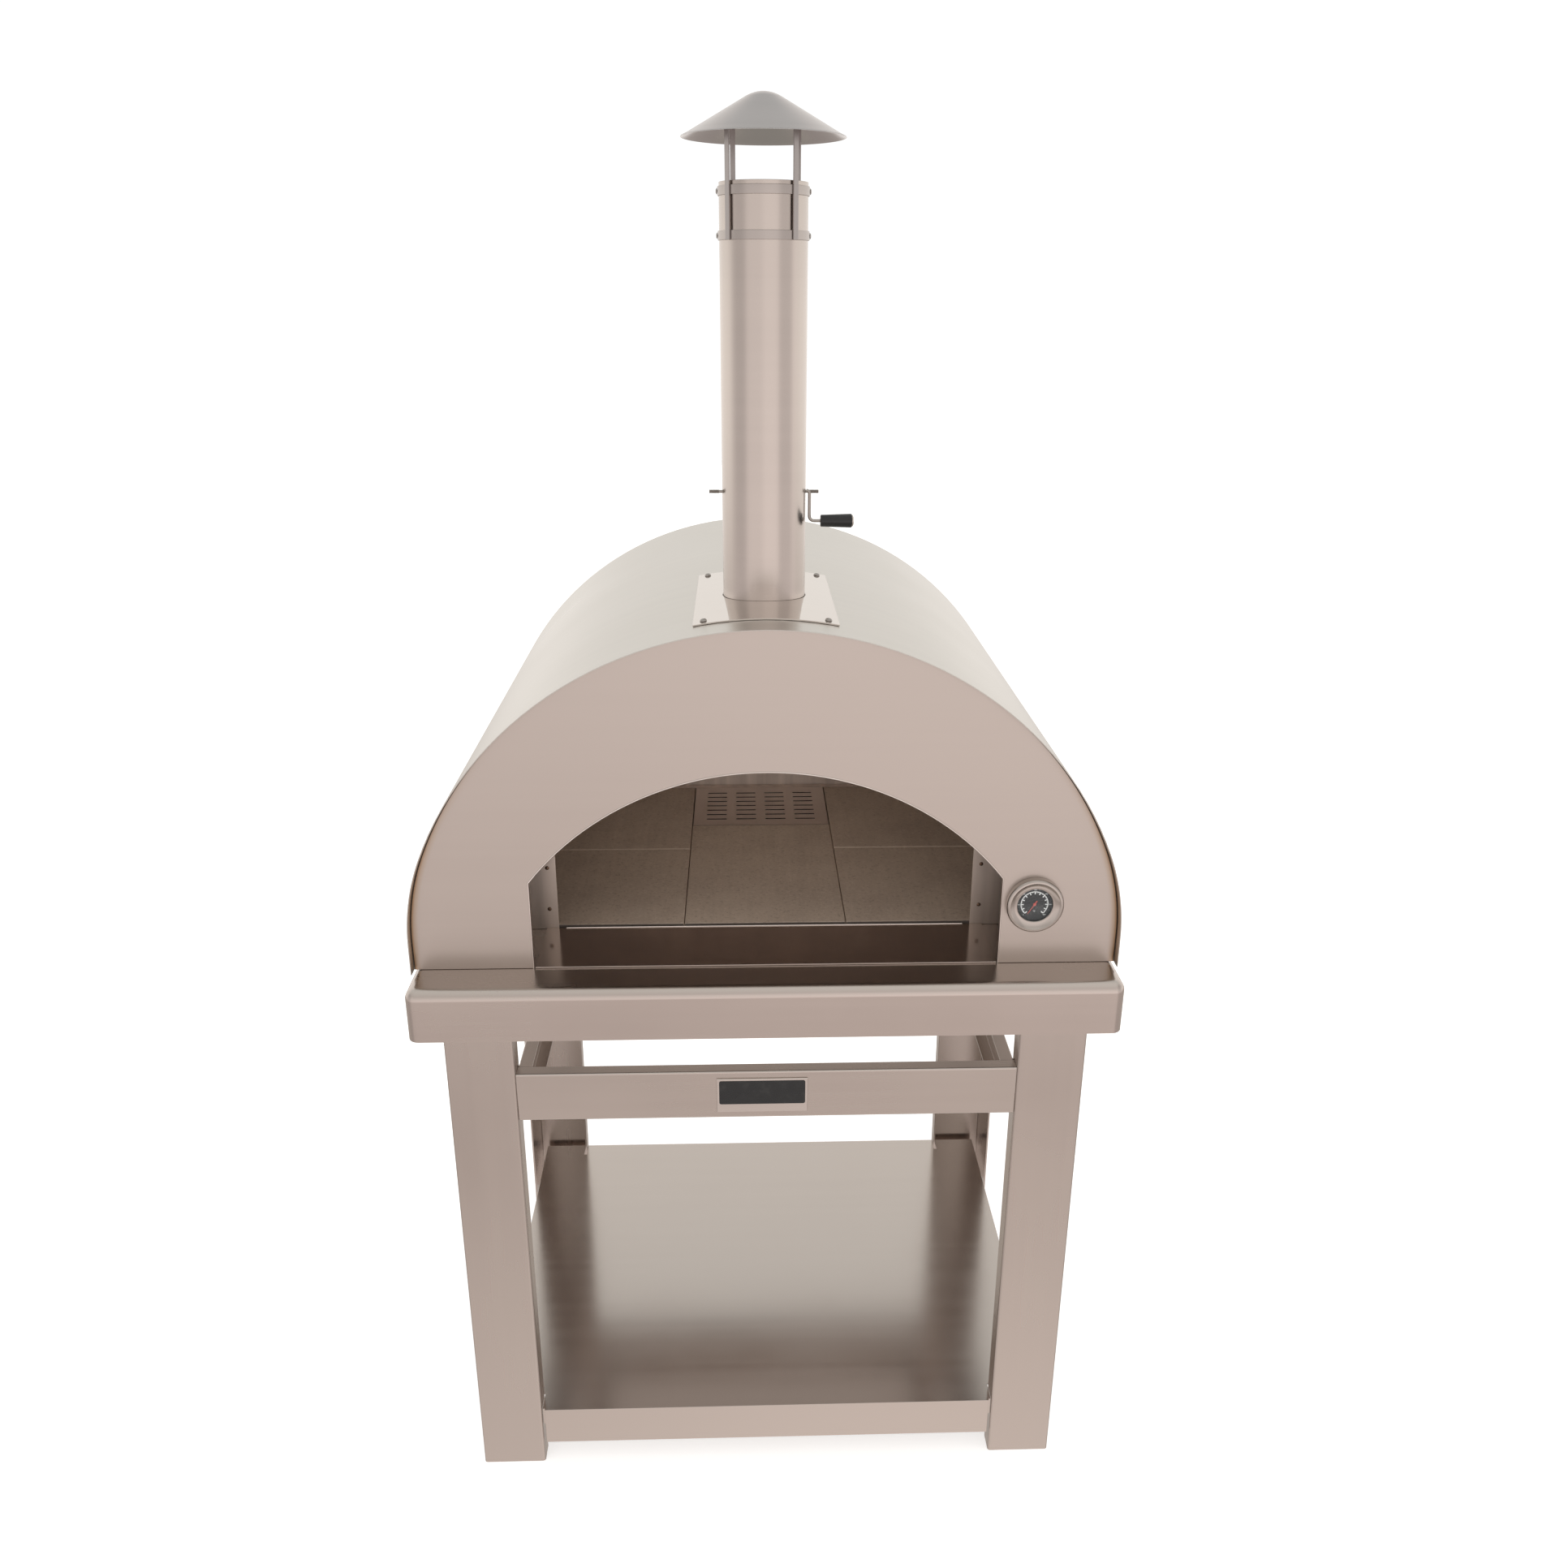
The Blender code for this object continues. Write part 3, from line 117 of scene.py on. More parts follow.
class Value:
    """A node's output that Python's operators work on. Each operator adds one Math node."""

    def __init__(self, nodes, socket):
        self.nodes = nodes
        self.socket = socket

    def math(self, operation, *others):
        inputs = dict(enumerate((self, *others)))
        return self.nodes.add("Math", {"operation": operation}, inputs)

    def __add__(self, other):
        return self.math("ADD", other)

    __radd__ = __add__

    def __sub__(self, other):
        return self.math("SUBTRACT", other)

    def __rsub__(self, other):
        return self.nodes.add("Math", {"operation": "SUBTRACT"}, {0: other, 1: self})

    def __mul__(self, other):
        return self.math("MULTIPLY", other)

    __rmul__ = __mul__

    def __abs__(self):
        return self.math("ABSOLUTE")

    def least(self, other):
        """The value, but never below the other."""
        return self.math("MAXIMUM", other)

    def step(self, low, high):
        """0 at low, 1 at high, smooth between, and flat beyond."""
        limits = {"From Min": low, "From Max": high}
        settings = {"interpolation_type": "SMOOTHSTEP"}
        return self.nodes.add("MapRange", settings, {"Value": self, **limits})


class Nodes:
    """The node tree of a material or a world, empty at first."""

    def __init__(self, owner, coordinates):
        owner.use_nodes = True
        self.owner = owner
        self.tree = owner.node_tree
        self.tree.nodes.clear()
        self.place = self.add("TexCoord", out=coordinates)

    def feed(self, socket, value):
        if isinstance(value, Value):
            self.tree.links.new(value.socket, socket)
        elif socket.type == "RGBA" and len(value) == 3:
            socket.default_value = (*value, 1)
        else:
            socket.default_value = value

    def add(self, kind, settings=None, inputs=None, out=0):
        node = self.tree.nodes.new("ShaderNode" + kind)
        for key, value in (settings or {}).items():
            if key == "stops":
                ramp = node.color_ramp
                while len(ramp.elements) < len(value):
                    ramp.elements.new(0.5)
                for element, (position, colour) in zip(ramp.elements, value):
                    element.position = position
                    element.color = (*colour, 1)
            else:
                setattr(node, key, value)
        for key, value in (inputs or {}).items():
            self.feed(node.inputs[key], value)
        return Value(self, node.outputs[out])

    def axis(self, letter):
        return self.add("SeparateXYZ", None, {0: self.place}, letter.upper())

    def mix(self, amount, first, second, blend="MIX"):
        settings = {"data_type": "RGBA", "blend_type": blend, "clamp_factor": True}
        return self.add("Mix", settings, {0: amount, 6: first, 7: second}, 2)


class Finish(Nodes):
    """A material on Object coordinates."""

    def __init__(self, name):
        super().__init__(bpy.data.materials.new(name), "Object")

    def stretched(self, scale):
        return self.add("Mapping", {"vector_type": "POINT"}, {"Vector": self.place, "Scale": scale})

    def noise(self, scale, detail=2.0, rough=0.5):
        """Noise with this many cells per metre along each axis."""
        scale = scale if isinstance(scale, tuple) else (scale,) * 3
        inputs = {"Vector": self.stretched(scale), "Scale": 1.0}
        return self.add("TexNoise", None, {**inputs, "Detail": detail, "Roughness": rough})

    def shade(self, value):
        """A grey colour from a value, to multiply another colour by."""
        return self.add("CombineColor", None, {0: value, 1: value, 2: value})

    def bump(self, height, distance):
        return self.add("Bump", None, {"Height": height, "Distance": distance, "Strength": 1.0})

    def done(self, **inputs):
        """Ends the material in a Principled shader. Underscores stand for spaces."""
        named = {key.replace("_", " "): value for key, value in inputs.items()}
        surface = self.add("BsdfPrincipled", None, named)
        self.tree.links.new(surface.socket, self.tree.nodes.new("ShaderNodeOutputMaterial").inputs[0])
        return self.owner


def brushed(name, colour, rough=0.30, along="x", contrast=0.02, depth=0.0015, smear=0.05, tint=None):
    """Brushed stainless: fine scratches along one axis, soft streaks, and hand smears."""
    finish = Finish(name)
    across = {"x": "yz", "y": "xz", "z": "xy", "ring": "z", "hoop": "y", "face": "xz"}[along]
    hair = finish.noise(tuple(650 if axis in across else 7 for axis in "xyz"), 3.0, 0.6)
    streak = finish.noise(tuple(55 if axis in across else 1.4 for axis in "xyz"), 2.0, 0.5)
    cloud = finish.noise(4.0, 3.0, 0.55)
    level = (streak - 0.5) * contrast * 2 + (cloud - 0.5) * smear + 1.0
    base = finish.mix(1.0, colour, finish.shade(level), "MULTIPLY")
    if tint:
        base = tint(finish, base)
    scratch = finish.bump(hair, depth * MM)
    roughness = (streak - 0.5) * 0.05 + (cloud - 0.5) * 0.10 + rough
    return finish.done(Base_Color=base, Metallic=1.0, Roughness=roughness, Normal=scratch)


def heat_tint(arch, edge):
    """Dark joint line inside an arch, with straw and brown oxide beside its lower part."""

    def paint(finish, base):
        x = abs(finish.axis("x"))
        z = finish.axis("z")
        up = (z - arch.foot - arch.straight).least(0.0)
        out = (x - (arch.half - arch.side_radius)).least(0.0)
        beside = arch.side_radius - (out * out + up * up).math("SQRT")
        over = z - arch.crown_z
        above = arch.crown_radius - (x * x + over * over).math("SQRT")
        crown = (over * tan(arch.join) - x).step(-0.001, 0.001)
        inset = crown * (above - beside) + beside - edge
        ragged = finish.noise((30, 30, 9), 3.0, 0.6) * 0.006
        low = 1.0 - (z - arch.foot).step(0.10, 0.34)
        straw = (1.0 - (inset - ragged).step(0.0005, 0.008)) * low
        brown = (1.0 - (inset - ragged * 0.3).step(0.0008, 0.0035)) * low
        base = finish.mix(straw * 0.55, base, (0.52, 0.38, 0.25))
        base = finish.mix(brown * 0.6, base, (0.42, 0.24, 0.11))
        return finish.mix((1.0 - inset.step(0.0006, 0.0016)) * 0.9, base, (0.05, 0.045, 0.04))

    return paint


def blackened_below(height):
    """Near black on all that lies below a sheet's top face, such as the walls of its slots."""

    def paint(finish, base):
        below = finish.axis("z").step(height - 0.0004, height - 0.0009)
        return finish.mix(below, base, (0.01, 0.009, 0.008))

    return paint


def tile_finish(name):
    """Fired refractory: sandy grain, small pits, cloudy colour and smoke from the rear."""
    finish = Finish(name)
    grain = finish.noise(620.0, 4.0, 0.7)
    fleck = finish.noise(230.0, 2.0, 0.5)
    cloud = finish.noise(7.0, 4.0, 0.6)
    drag = finish.noise((120, 5, 20), 2.0, 0.6)
    body = finish.mix(cloud.step(0.3, 0.7), (0.56, 0.45, 0.365), (0.64, 0.52, 0.42))
    body = finish.mix(fleck.step(0.56, 0.68) * 0.45, body, (0.74, 0.62, 0.51))
    body = finish.mix(fleck.step(0.42, 0.30) * 0.5, body, (0.36, 0.28, 0.22))
    # Painted highlight: a light line along the cross joint of the side tiles, standing in for the
    # front edges of the rear tiles catching the light.
    joint = 1.0 - abs(finish.axis("y") - TILE_JOINT).step(0.001, 0.0035)
    joint = joint * abs(finish.axis("x")).step(-TILE_SPLIT - 0.001, -TILE_SPLIT)
    body = finish.mix(joint * 0.7, body, (1.0, 0.86, 0.74))
    # Painted shade: the tiles' front faces, a few millimetres tall above the sill, darkened almost to
    # black.
    front = finish.axis("y").step(TILE_FRONT + 0.001, TILE_FRONT)
    body = finish.mix(front * 0.9, body, (0.06, 0.05, 0.045))
    level = (grain - 0.5) * 0.35 + (drag - 0.5) * 0.15 + 1.0
    body = finish.mix(1.0, body, finish.shade(level), "MULTIPLY")
    pits = finish.noise(140.0, 3.0, 0.6).step(0.34, 0.26)
    relief = finish.bump(grain * 0.6 - pits * 0.8 + drag * 0.3, 0.35 * MM)
    return finish.done(Base_Color=body, Roughness=(grain - 0.5) * 0.2 + 0.62, Normal=relief)


def fibrous(name, colour, scale=90.0, depth=1.2, blackened_under=None):
    """Ceramic wool or mineral board: matted fibres in soft clumps, black under the ash grate."""
    finish = Finish(name)
    fibre = finish.noise((scale * 6, scale, scale * 4), 5.0, 0.7)
    clump = finish.noise(scale / 3, 3.0, 0.6)
    level = (fibre - 0.5) * 0.3 + (clump - 0.5) * 0.2 + 1.0
    base = finish.mix(1.0, colour, finish.shade(level), "MULTIPLY")
    if blackened_under:
        half, y0 = blackened_under
        beside = abs(finish.axis("x")).step(half, half + 0.01)
        under = (1.0 - beside) * finish.axis("y").step(y0 - 0.01, y0)
        base = finish.mix(under * 0.95, base, (0.012, 0.011, 0.010))
    relief = finish.bump(fibre + clump, depth * MM)
    return finish.done(Base_Color=base, Roughness=(clump - 0.5) * 0.1 + 0.92, Normal=relief)


def moulded(name, colour, rough=0.32):
    """Moulded satin plastic with a fine orange-peel surface and a little dust."""
    finish = Finish(name)
    peel = finish.noise(900.0, 2.0, 0.5)
    dust = finish.noise(60.0, 4.0, 0.6)
    base = finish.mix(dust.step(0.5, 0.8) * 0.25, colour, (0.08, 0.075, 0.07))
    relief = finish.bump(peel, 0.05 * MM)
    return finish.done(Base_Color=base, Roughness=(dust - 0.5) * 0.2 + rough, Normal=relief)


def enamel(name, colour, rough=0.4, gloss=0.5):
    """Sprayed enamel with a faint mottle."""
    finish = Finish(name)
    mottle = finish.noise(400.0, 3.0, 0.6)
    base = finish.mix(1.0, colour, finish.shade((mottle - 0.5) * 0.2 + 1.0), "MULTIPLY")
    relief = finish.bump(mottle, 0.02 * MM)
    roughness = (mottle - 0.5) * 0.15 + rough
    return finish.done(Base_Color=base, Roughness=roughness, Normal=relief, Specular_IOR_Level=gloss)


def clear_glass(name):
    """A flat glass, thin enough to show as a faint sheen over what lies below."""
    finish = Finish(name)
    smudge = finish.noise(70.0, 3.0, 0.6)
    alpha = smudge.step(0.45, 0.8) * 0.03 + 0.03
    return finish.done(Base_Color=(0.92, 0.95, 0.96), Roughness=smudge * 0.06 + 0.02, Alpha=alpha)


# --- shapes -----------------------------------------------------------------------------------


def even_normals(bm, angle):
    """Corner normals that follow the larger faces, so that flats stay flat beside their bends."""
    limit = cos(radians(angle))
    weight = {face: face.calc_area() for face in bm.faces}
    normals = []
    for face in bm.faces:
        for vert in face.verts:
            total = Vector()
            for other in vert.link_faces:
                if face.normal.dot(other.normal) > limit:
                    total += other.normal * weight[other]
            normals.append(total.normalized() if total.length > 1e-12 else face.normal)
    return normals


def piece(bm, name, body, finish, replaced=()):
    """The finished mesh as an object that rides on a body."""
    bm.normal_update()
    for face in bm.faces:
        face.smooth = True
    normals = even_normals(bm, SMOOTH_ANGLE)
    mesh = bpy.data.meshes.new(name)
    bm.to_mesh(mesh)
    bm.free()
    mesh.normals_split_custom_set(normals)
    mesh.materials.append(finish)
    obj = bpy.data.objects.new(name, mesh)
    bpy.context.scene.collection.objects.link(obj)
    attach(obj, body)
    if replaced:
        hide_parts(*replaced)
    return obj


def closed(bm):
    """Doubles merged, and faces turned outwards."""
    bmesh.ops.remove_doubles(bm, verts=bm.verts[:], dist=1e-6)
    bmesh.ops.recalc_face_normals(bm, faces=bm.faces[:])
    return bm


def merged_copy(node):
    """A CAD node's mesh with its loose triangles joined and its flats made whole."""
    bm = bmesh.new()
    bm.from_mesh(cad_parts[node].data)
    bmesh.ops.remove_doubles(bm, verts=bm.verts[:], dist=2e-6)
    bmesh.ops.dissolve_limit(bm, angle_limit=radians(0.6), verts=bm.verts[:], edges=bm.edges[:])
    return bm


def corners(bm, angle=25, along=None):
    """Edges whose faces meet at more than this angle, and that run along this direction."""
    found = []
    for edge in bm.edges:
        if len(edge.link_faces) == 2 and edge.calc_face_angle(0) > radians(angle):
            run = (edge.verts[1].co - edge.verts[0].co).normalized()
            if along is None or abs(run.dot(Vector(along))) > 0.999:
                found.append(edge)
    return found


def rounded(bm, edges, radius, segments=3):
    bmesh.ops.bevel(
        bm, geom=edges, offset=radius, segments=segments, profile=0.5,
        affect="EDGES", clamp_overlap=True, material=-1,
    )
    return bm


def softened(node, radius, segments=2):
    """A CAD node's mesh with its sharp edges rounded."""
    bm = merged_copy(node)
    return rounded(bm, corners(bm), radius, segments)


def keep_node(node, finish):
    """The CAD node as it is, with a finish of its own."""
    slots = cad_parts[node].material_slots
    if not slots:
        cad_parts[node].data.materials.append(finish)
    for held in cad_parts[node].material_slots:
        held.material = finish


def turned(profile, centre, axis="Z", steps=64):
    """A solid turned from (radius, height) points. Off the axis, its ends are joined."""
    bm = bmesh.new()
    verts = [bm.verts.new((radius, 0, height)) for radius, height in profile]
    edges = [bm.edges.new(pair) for pair in zip(verts, verts[1:])]
    if profile[0][0] > 0 or profile[-1][0] > 0:
        edges.append(bm.edges.new((verts[-1], verts[0])))
    bmesh.ops.spin(
        bm, geom=verts + edges, cent=(0, 0, 0), axis=(0, 0, 1), angle=2 * pi,
        steps=steps, use_merge=True, use_duplicate=False,
    )
    closed(bm)
    turn = {"Z": Matrix(), "X": Matrix.Rotation(pi / 2, 4, "Y"), "-Y": Matrix.Rotation(pi / 2, 4, "X")}
    place = Matrix.Translation(centre) @ (axis if isinstance(axis, Matrix) else turn[axis])
    bmesh.ops.transform(bm, matrix=place, verts=bm.verts[:])
    return bm


def quarter(centre, radius, start, end, steps=6):
    """Points of an arc from start to end, in degrees from the first axis."""
    angles = [radians(start + (end - start) * step / steps) for step in range(steps + 1)]
    return [(centre[0] + radius * cos(a), centre[1] + radius * sin(a)) for a in angles]


class Arch:
    """Straight feet, side arcs and a wide crown arc, all tangent, standing on a foot."""

    def __init__(self, half, rise, straight, side_radius, foot):
        height = rise - straight
        self.half, self.straight, self.side_radius, self.foot = half, straight, side_radius, foot
        self.crown_radius = (half * half + height * height - 2 * half * side_radius) / (
            2 * (height - side_radius)
        )
        self.join = asin((half - side_radius) / (self.crown_radius - side_radius))
        self.crown_z = foot + straight - (self.crown_radius - height)

    def drawn(self, bm, y, steps=(20, 56)):
        """The arch as a chain of edges in the plane y, spun from its left foot to its right."""
        last = bm.verts.new((-self.half, y, self.foot))
        chain = [last]
        grown = bmesh.ops.extrude_vert_indiv(bm, verts=[last])["verts"]
        bmesh.ops.translate(bm, verts=grown, vec=(0, 0, self.straight))
        chain += grown
        side = self.half - self.side_radius
        turn = pi / 2 - self.join
        for centre, angle, count in (
            ((-side, y, self.foot + self.straight), turn, steps[0]),
            ((0, y, self.crown_z), 2 * self.join, steps[1]),
            ((side, y, self.foot + self.straight), turn, steps[0]),
        ):
            before = set(bm.verts)
            bmesh.ops.spin(
                bm, geom=[chain[-1]], cent=centre, axis=(0, 1, 0), angle=angle, steps=count,
                use_merge=False, use_duplicate=False,
            )
            chain += in_order(chain[-1], set(bm.verts) - before)
        grown = bmesh.ops.extrude_vert_indiv(bm, verts=[chain[-1]])["verts"]
        bmesh.ops.translate(bm, verts=grown, vec=(0, 0, -self.straight))
        return chain + grown


def in_order(start, left):
    """The points left in the chain that starts here, in the order that its edges give."""
    order = []
    while left:
        start = next(e.other_vert(start) for e in start.link_edges if e.other_vert(start) in left)
        left.discard(start)
        order.append(start)
    return order


def mouth_drawn(bm, y):
    """The mouth's outline as a chain of edges: two straight sides under one arc."""
    over = MOUTH_RISE - MOUTH_SIDE
    radius = (MOUTH_HALF * MOUTH_HALF + over * over) / (2 * over)
    lean = asin(MOUTH_HALF / radius)
    foot = shell.foot
    chain = [bm.verts.new((-MOUTH_HALF, y, foot))]
    grown = bmesh.ops.extrude_vert_indiv(bm, verts=chain[:])["verts"]
    bmesh.ops.translate(bm, verts=grown, vec=(0, 0, MOUTH_SIDE))
    chain += grown
    before = set(bm.verts)
    bmesh.ops.spin(
        bm, geom=[chain[-1]], cent=(0, y, foot + MOUTH_RISE - radius), axis=(0, 1, 0),
        angle=2 * lean, steps=48, use_merge=False, use_duplicate=False,
    )
    chain += in_order(chain[-1], set(bm.verts) - before)
    grown = bmesh.ops.extrude_vert_indiv(bm, verts=[chain[-1]])["verts"]
    bmesh.ops.translate(bm, verts=grown, vec=(0, 0, -MOUTH_SIDE))
    return chain + grown


def grown_along(bm, edges, move):
    """Edges pulled along a move into faces. It returns the new far edges."""
    grown = bmesh.ops.extrude_edge_only(bm, edges=edges)["geom"]
    verts = [item for item in grown if isinstance(item, bmesh.types.BMVert)]
    bmesh.ops.translate(bm, verts=verts, vec=move)
    return [item for item in grown if isinstance(item, bmesh.types.BMEdge)]


def thickened(bm, thickness):
    """Gives an open sheet its wall, on the side away from its normals."""
    bmesh.ops.solidify(bm, geom=bm.faces[:], thickness=thickness)
    return bm


def facing(bm, outward):
    """Turns a sheet so that its faces look the way that outward says at their middles."""
    bm.normal_update()
    bmesh.ops.recalc_face_normals(bm, faces=bm.faces[:])
    bm.normal_update()
    score = 0.0
    for face in bm.faces:
        score += face.normal.dot(outward(face.calc_center_median())) * face.calc_area()
    if score < 0:
        bmesh.ops.reverse_faces(bm, faces=bm.faces[:])
    bm.normal_update()
    return bm


def arched_sheet(arch, y0, y1, sheet, steps=(20, 56)):
    """A sheet rolled over the arch from y0 to y1, with its wall inside."""
    bm = bmesh.new()
    arch.drawn(bm, y0, steps)
    grown_along(bm, bm.edges[:], (0, y1 - y0, 0))
    middle = Vector((0, 0, arch.foot))
    facing(bm, lambda at: Vector((at.x, 0, at.z)) - middle)
    thickened(bm, sheet)
    return rounded(bm, corners(bm, 60), 0.3 * sheet, 2)


def arched_plate(arch, y, inset, sheet):
    """A flat plate that fills the arch."""
    bm = bmesh.new()
    chain = arch.drawn(bm, y)
    fit_inside(chain, arch, inset)
    bm.edges.new((chain[-1], chain[0]))
    bmesh.ops.contextual_create(bm, geom=bm.edges[:])
    grown = bmesh.ops.extrude_face_region(bm, geom=bm.faces[:])["geom"]
    moved = [item for item in grown if isinstance(item, bmesh.types.BMVert)]
    bmesh.ops.translate(bm, verts=moved, vec=(0, sheet, 0))
    return closed(bm)


def fit_inside(chain, arch, inset):
    """Moves an arch's points inwards by an inset, square to the line."""
    side = arch.half - arch.side_radius
    for vert in chain:
        x, z = vert.co.x, vert.co.z
        crown = Vector((x, 0, z - arch.crown_z))
        if abs(x) < crown.length * sin(arch.join) + 1e-7 and z > arch.foot + arch.straight:
            move = crown.normalized()
        elif z > arch.foot + arch.straight:
            hand = 1 if x > 0 else -1
            move = Vector((x - hand * side, 0, z - arch.foot - arch.straight)).normalized()
        else:
            move = Vector((1 if x > 0 else -1, 0, 0))
        vert.co -= move * inset


# --- finishes ---------------------------------------------------------------------------------

shell_lo, shell_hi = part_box("outer_shell")
shell = Arch(shell_hi.x, shell_hi.z - shell_lo.z, SHELL_STRAIGHT, SHELL_SIDE_RADIUS, shell_lo.z)
vault_lo, vault_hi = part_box("chamber_vault")
vault = Arch(vault_hi.x, vault_hi.z - vault_lo.z, CHAMBER_STRAIGHT, CHAMBER_SIDE_RADIUS, vault_lo.z)

STEEL_COLOUR = (0.575, 0.515, 0.475)
TINT = heat_tint(shell, 1.8 * MM)
TILE_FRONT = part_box("floor_tile_front_left")[0].y
TILE_SPLIT, TILE_JOINT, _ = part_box("floor_tile_front_left")[1]
GRATE_LO, GRATE_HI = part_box("ash_grate")
STAND = brushed("stand_brushed_steel", STEEL_COLOUR, 0.26, "z")
RAIL = brushed("rail_brushed_steel", STEEL_COLOUR, 0.28, "x")
SIDE_RAIL = brushed("side_rail_brushed_steel", (0.56, 0.50, 0.46), 0.24, "y")
SHELF = brushed("shelf_brushed_steel", (0.575, 0.515, 0.475), 0.17, "x", contrast=0.02, smear=0.06)
WORKTOP = brushed("worktop_brushed_steel", (0.585, 0.52, 0.48), 0.26, "x")
SHELL = brushed("shell_brushed_steel", (0.605, 0.58, 0.54), 0.30, "hoop", contrast=0.06)
PANEL = brushed("panel_brushed_steel", STEEL_COLOUR, 0.34, "x", contrast=0.025, tint=TINT)
FLUE = brushed("flue_ring_brushed_steel", (0.59, 0.53, 0.49), 0.24, "ring", contrast=0.035)
CAP = brushed("cap_spun_steel", (0.465, 0.43, 0.425), 0.20, "ring", contrast=0.08, smear=0.1)
STRUT = brushed("strut_strip_steel", (0.44, 0.41, 0.40), 0.34, "z", contrast=0.08)
BAND = brushed("band_strip_steel", (0.50, 0.455, 0.43), 0.30, "ring", contrast=0.06)
CHAMBER = brushed("chamber_smoked_steel", (0.80, 0.70, 0.63), 0.46, "z", contrast=0.3, smear=0.15)
VAULT = brushed("vault_smoked_steel", (0.50, 0.45, 0.42), 0.45, "y", smear=0.25)
GRATE = brushed("grate_steel", (0.78, 0.68, 0.61), 0.42, "x", smear=0.12, tint=blackened_below(GRATE_HI.z))
SILL = brushed("sill_mirror_steel", (0.58, 0.51, 0.47), 0.14, "x", contrast=0.03, depth=0.001)
MIRROR = brushed("saddle_mirror_steel", (0.70, 0.65, 0.61), 0.07, "x", contrast=0.02, depth=0.001)
BRIGHT = brushed("turned_bright_steel", (0.62, 0.57, 0.53), 0.16, "x", contrast=0.04, depth=0.001)
DULL = brushed("zinc_grey_wire", (0.40, 0.37, 0.345), 0.32, "x", contrast=0.08)
RIVET = brushed("smoked_rivet_steel", (0.20, 0.13, 0.09), 0.40, "x", contrast=0.1)
RIM = brushed("rim_hem_steel", (0.80, 0.74, 0.70), 0.25, "x", contrast=0.03)
BEZEL = brushed("bezel_satin_steel", (0.50, 0.455, 0.42), 0.20, "face", contrast=0.03, depth=0.001)
PAN = brushed("pan_dark_steel", (0.42, 0.38, 0.355), 0.45, "x", smear=0.15)
BADGE = brushed("badge_polished_steel", (0.74, 0.68, 0.64), 0.20, "x", contrast=0.04, depth=0.001)
TILE = tile_finish("fired_refractory_tile")
BOARD = fibrous("mineral_board", (0.62, 0.59, 0.54), 60.0, 0.5, blackened_under=(GRATE_HI.x, GRATE_LO.y))
WOOL = fibrous("ceramic_wool", (0.80, 0.79, 0.75))
GRIP = moulded("grip_black_plastic", (0.012, 0.012, 0.013), 0.30)
INSET = moulded("badge_black_enamel", (0.012, 0.013, 0.014), 0.28)
DIAL = enamel("dial_black_enamel", (0.014, 0.014, 0.016), 0.5, 0.15)
MARKS = enamel("dial_white_marks", (0.80, 0.82, 0.82), 0.5)
NEEDLE = enamel("needle_red_enamel", (0.50, 0.055, 0.04), 0.35)
LENS = clear_glass("dial_glass")


# --- stand ------------------------------------------------------------------------------------


def build_stand():
    for side in ("front_left", "front_right", "rear_left", "rear_right"):
        node = "leg_" + side
        piece(softened(node, 0.45 * MM), node + "_folded", "oven", STAND, [node])
    for node in ("front_rail", "rear_rail"):
        piece(softened(node, 0.35 * MM), node + "_folded", "oven", RAIL, [node])
    for node in ("side_rail_left", "side_rail_right"):
        piece(softened(node, 0.35 * MM), node + "_folded", "oven", SIDE_RAIL, [node])
    piece(softened("shelf", 0.5 * MM, 3), "shelf_tray", "oven", SHELF, ["shelf"])


def build_badge():
    """A bright plate with rounded corners and a blank black enamelled field."""
    lo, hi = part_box("badge_plate")
    bm = merged_copy("badge_plate")
    rounded(bm, corners(bm, 60, (0, 1, 0)), 4 * MM, 6)
    rounded(bm, corners(bm, 60), 0.4 * MM, 2)
    piece(bm, "badge_blank_plate", "oven", BADGE, ["badge_plate"])
    width = hi.x - lo.x - 7 * MM
    height = (hi.z - lo.z) * 0.70
    bm = bmesh.new()
    bmesh.ops.create_cube(bm, size=1)
    bmesh.ops.scale(bm, verts=bm.verts[:], vec=(width, 0.5 * MM, height))
    rounded(bm, corners(bm, 60, (0, 1, 0)), 3 * MM, 6)
    top = hi.z - 3 * MM - height / 2
    bmesh.ops.translate(bm, verts=bm.verts[:], vec=((lo.x + hi.x) / 2, lo.y - 0.1 * MM, top))
    rounded(bm, corners(bm, 60), 0.15 * MM, 2)
    piece(bm, "badge_enamel_field", "oven", INSET)


# --- worktop and hearth -----------------------------------------------------------------------


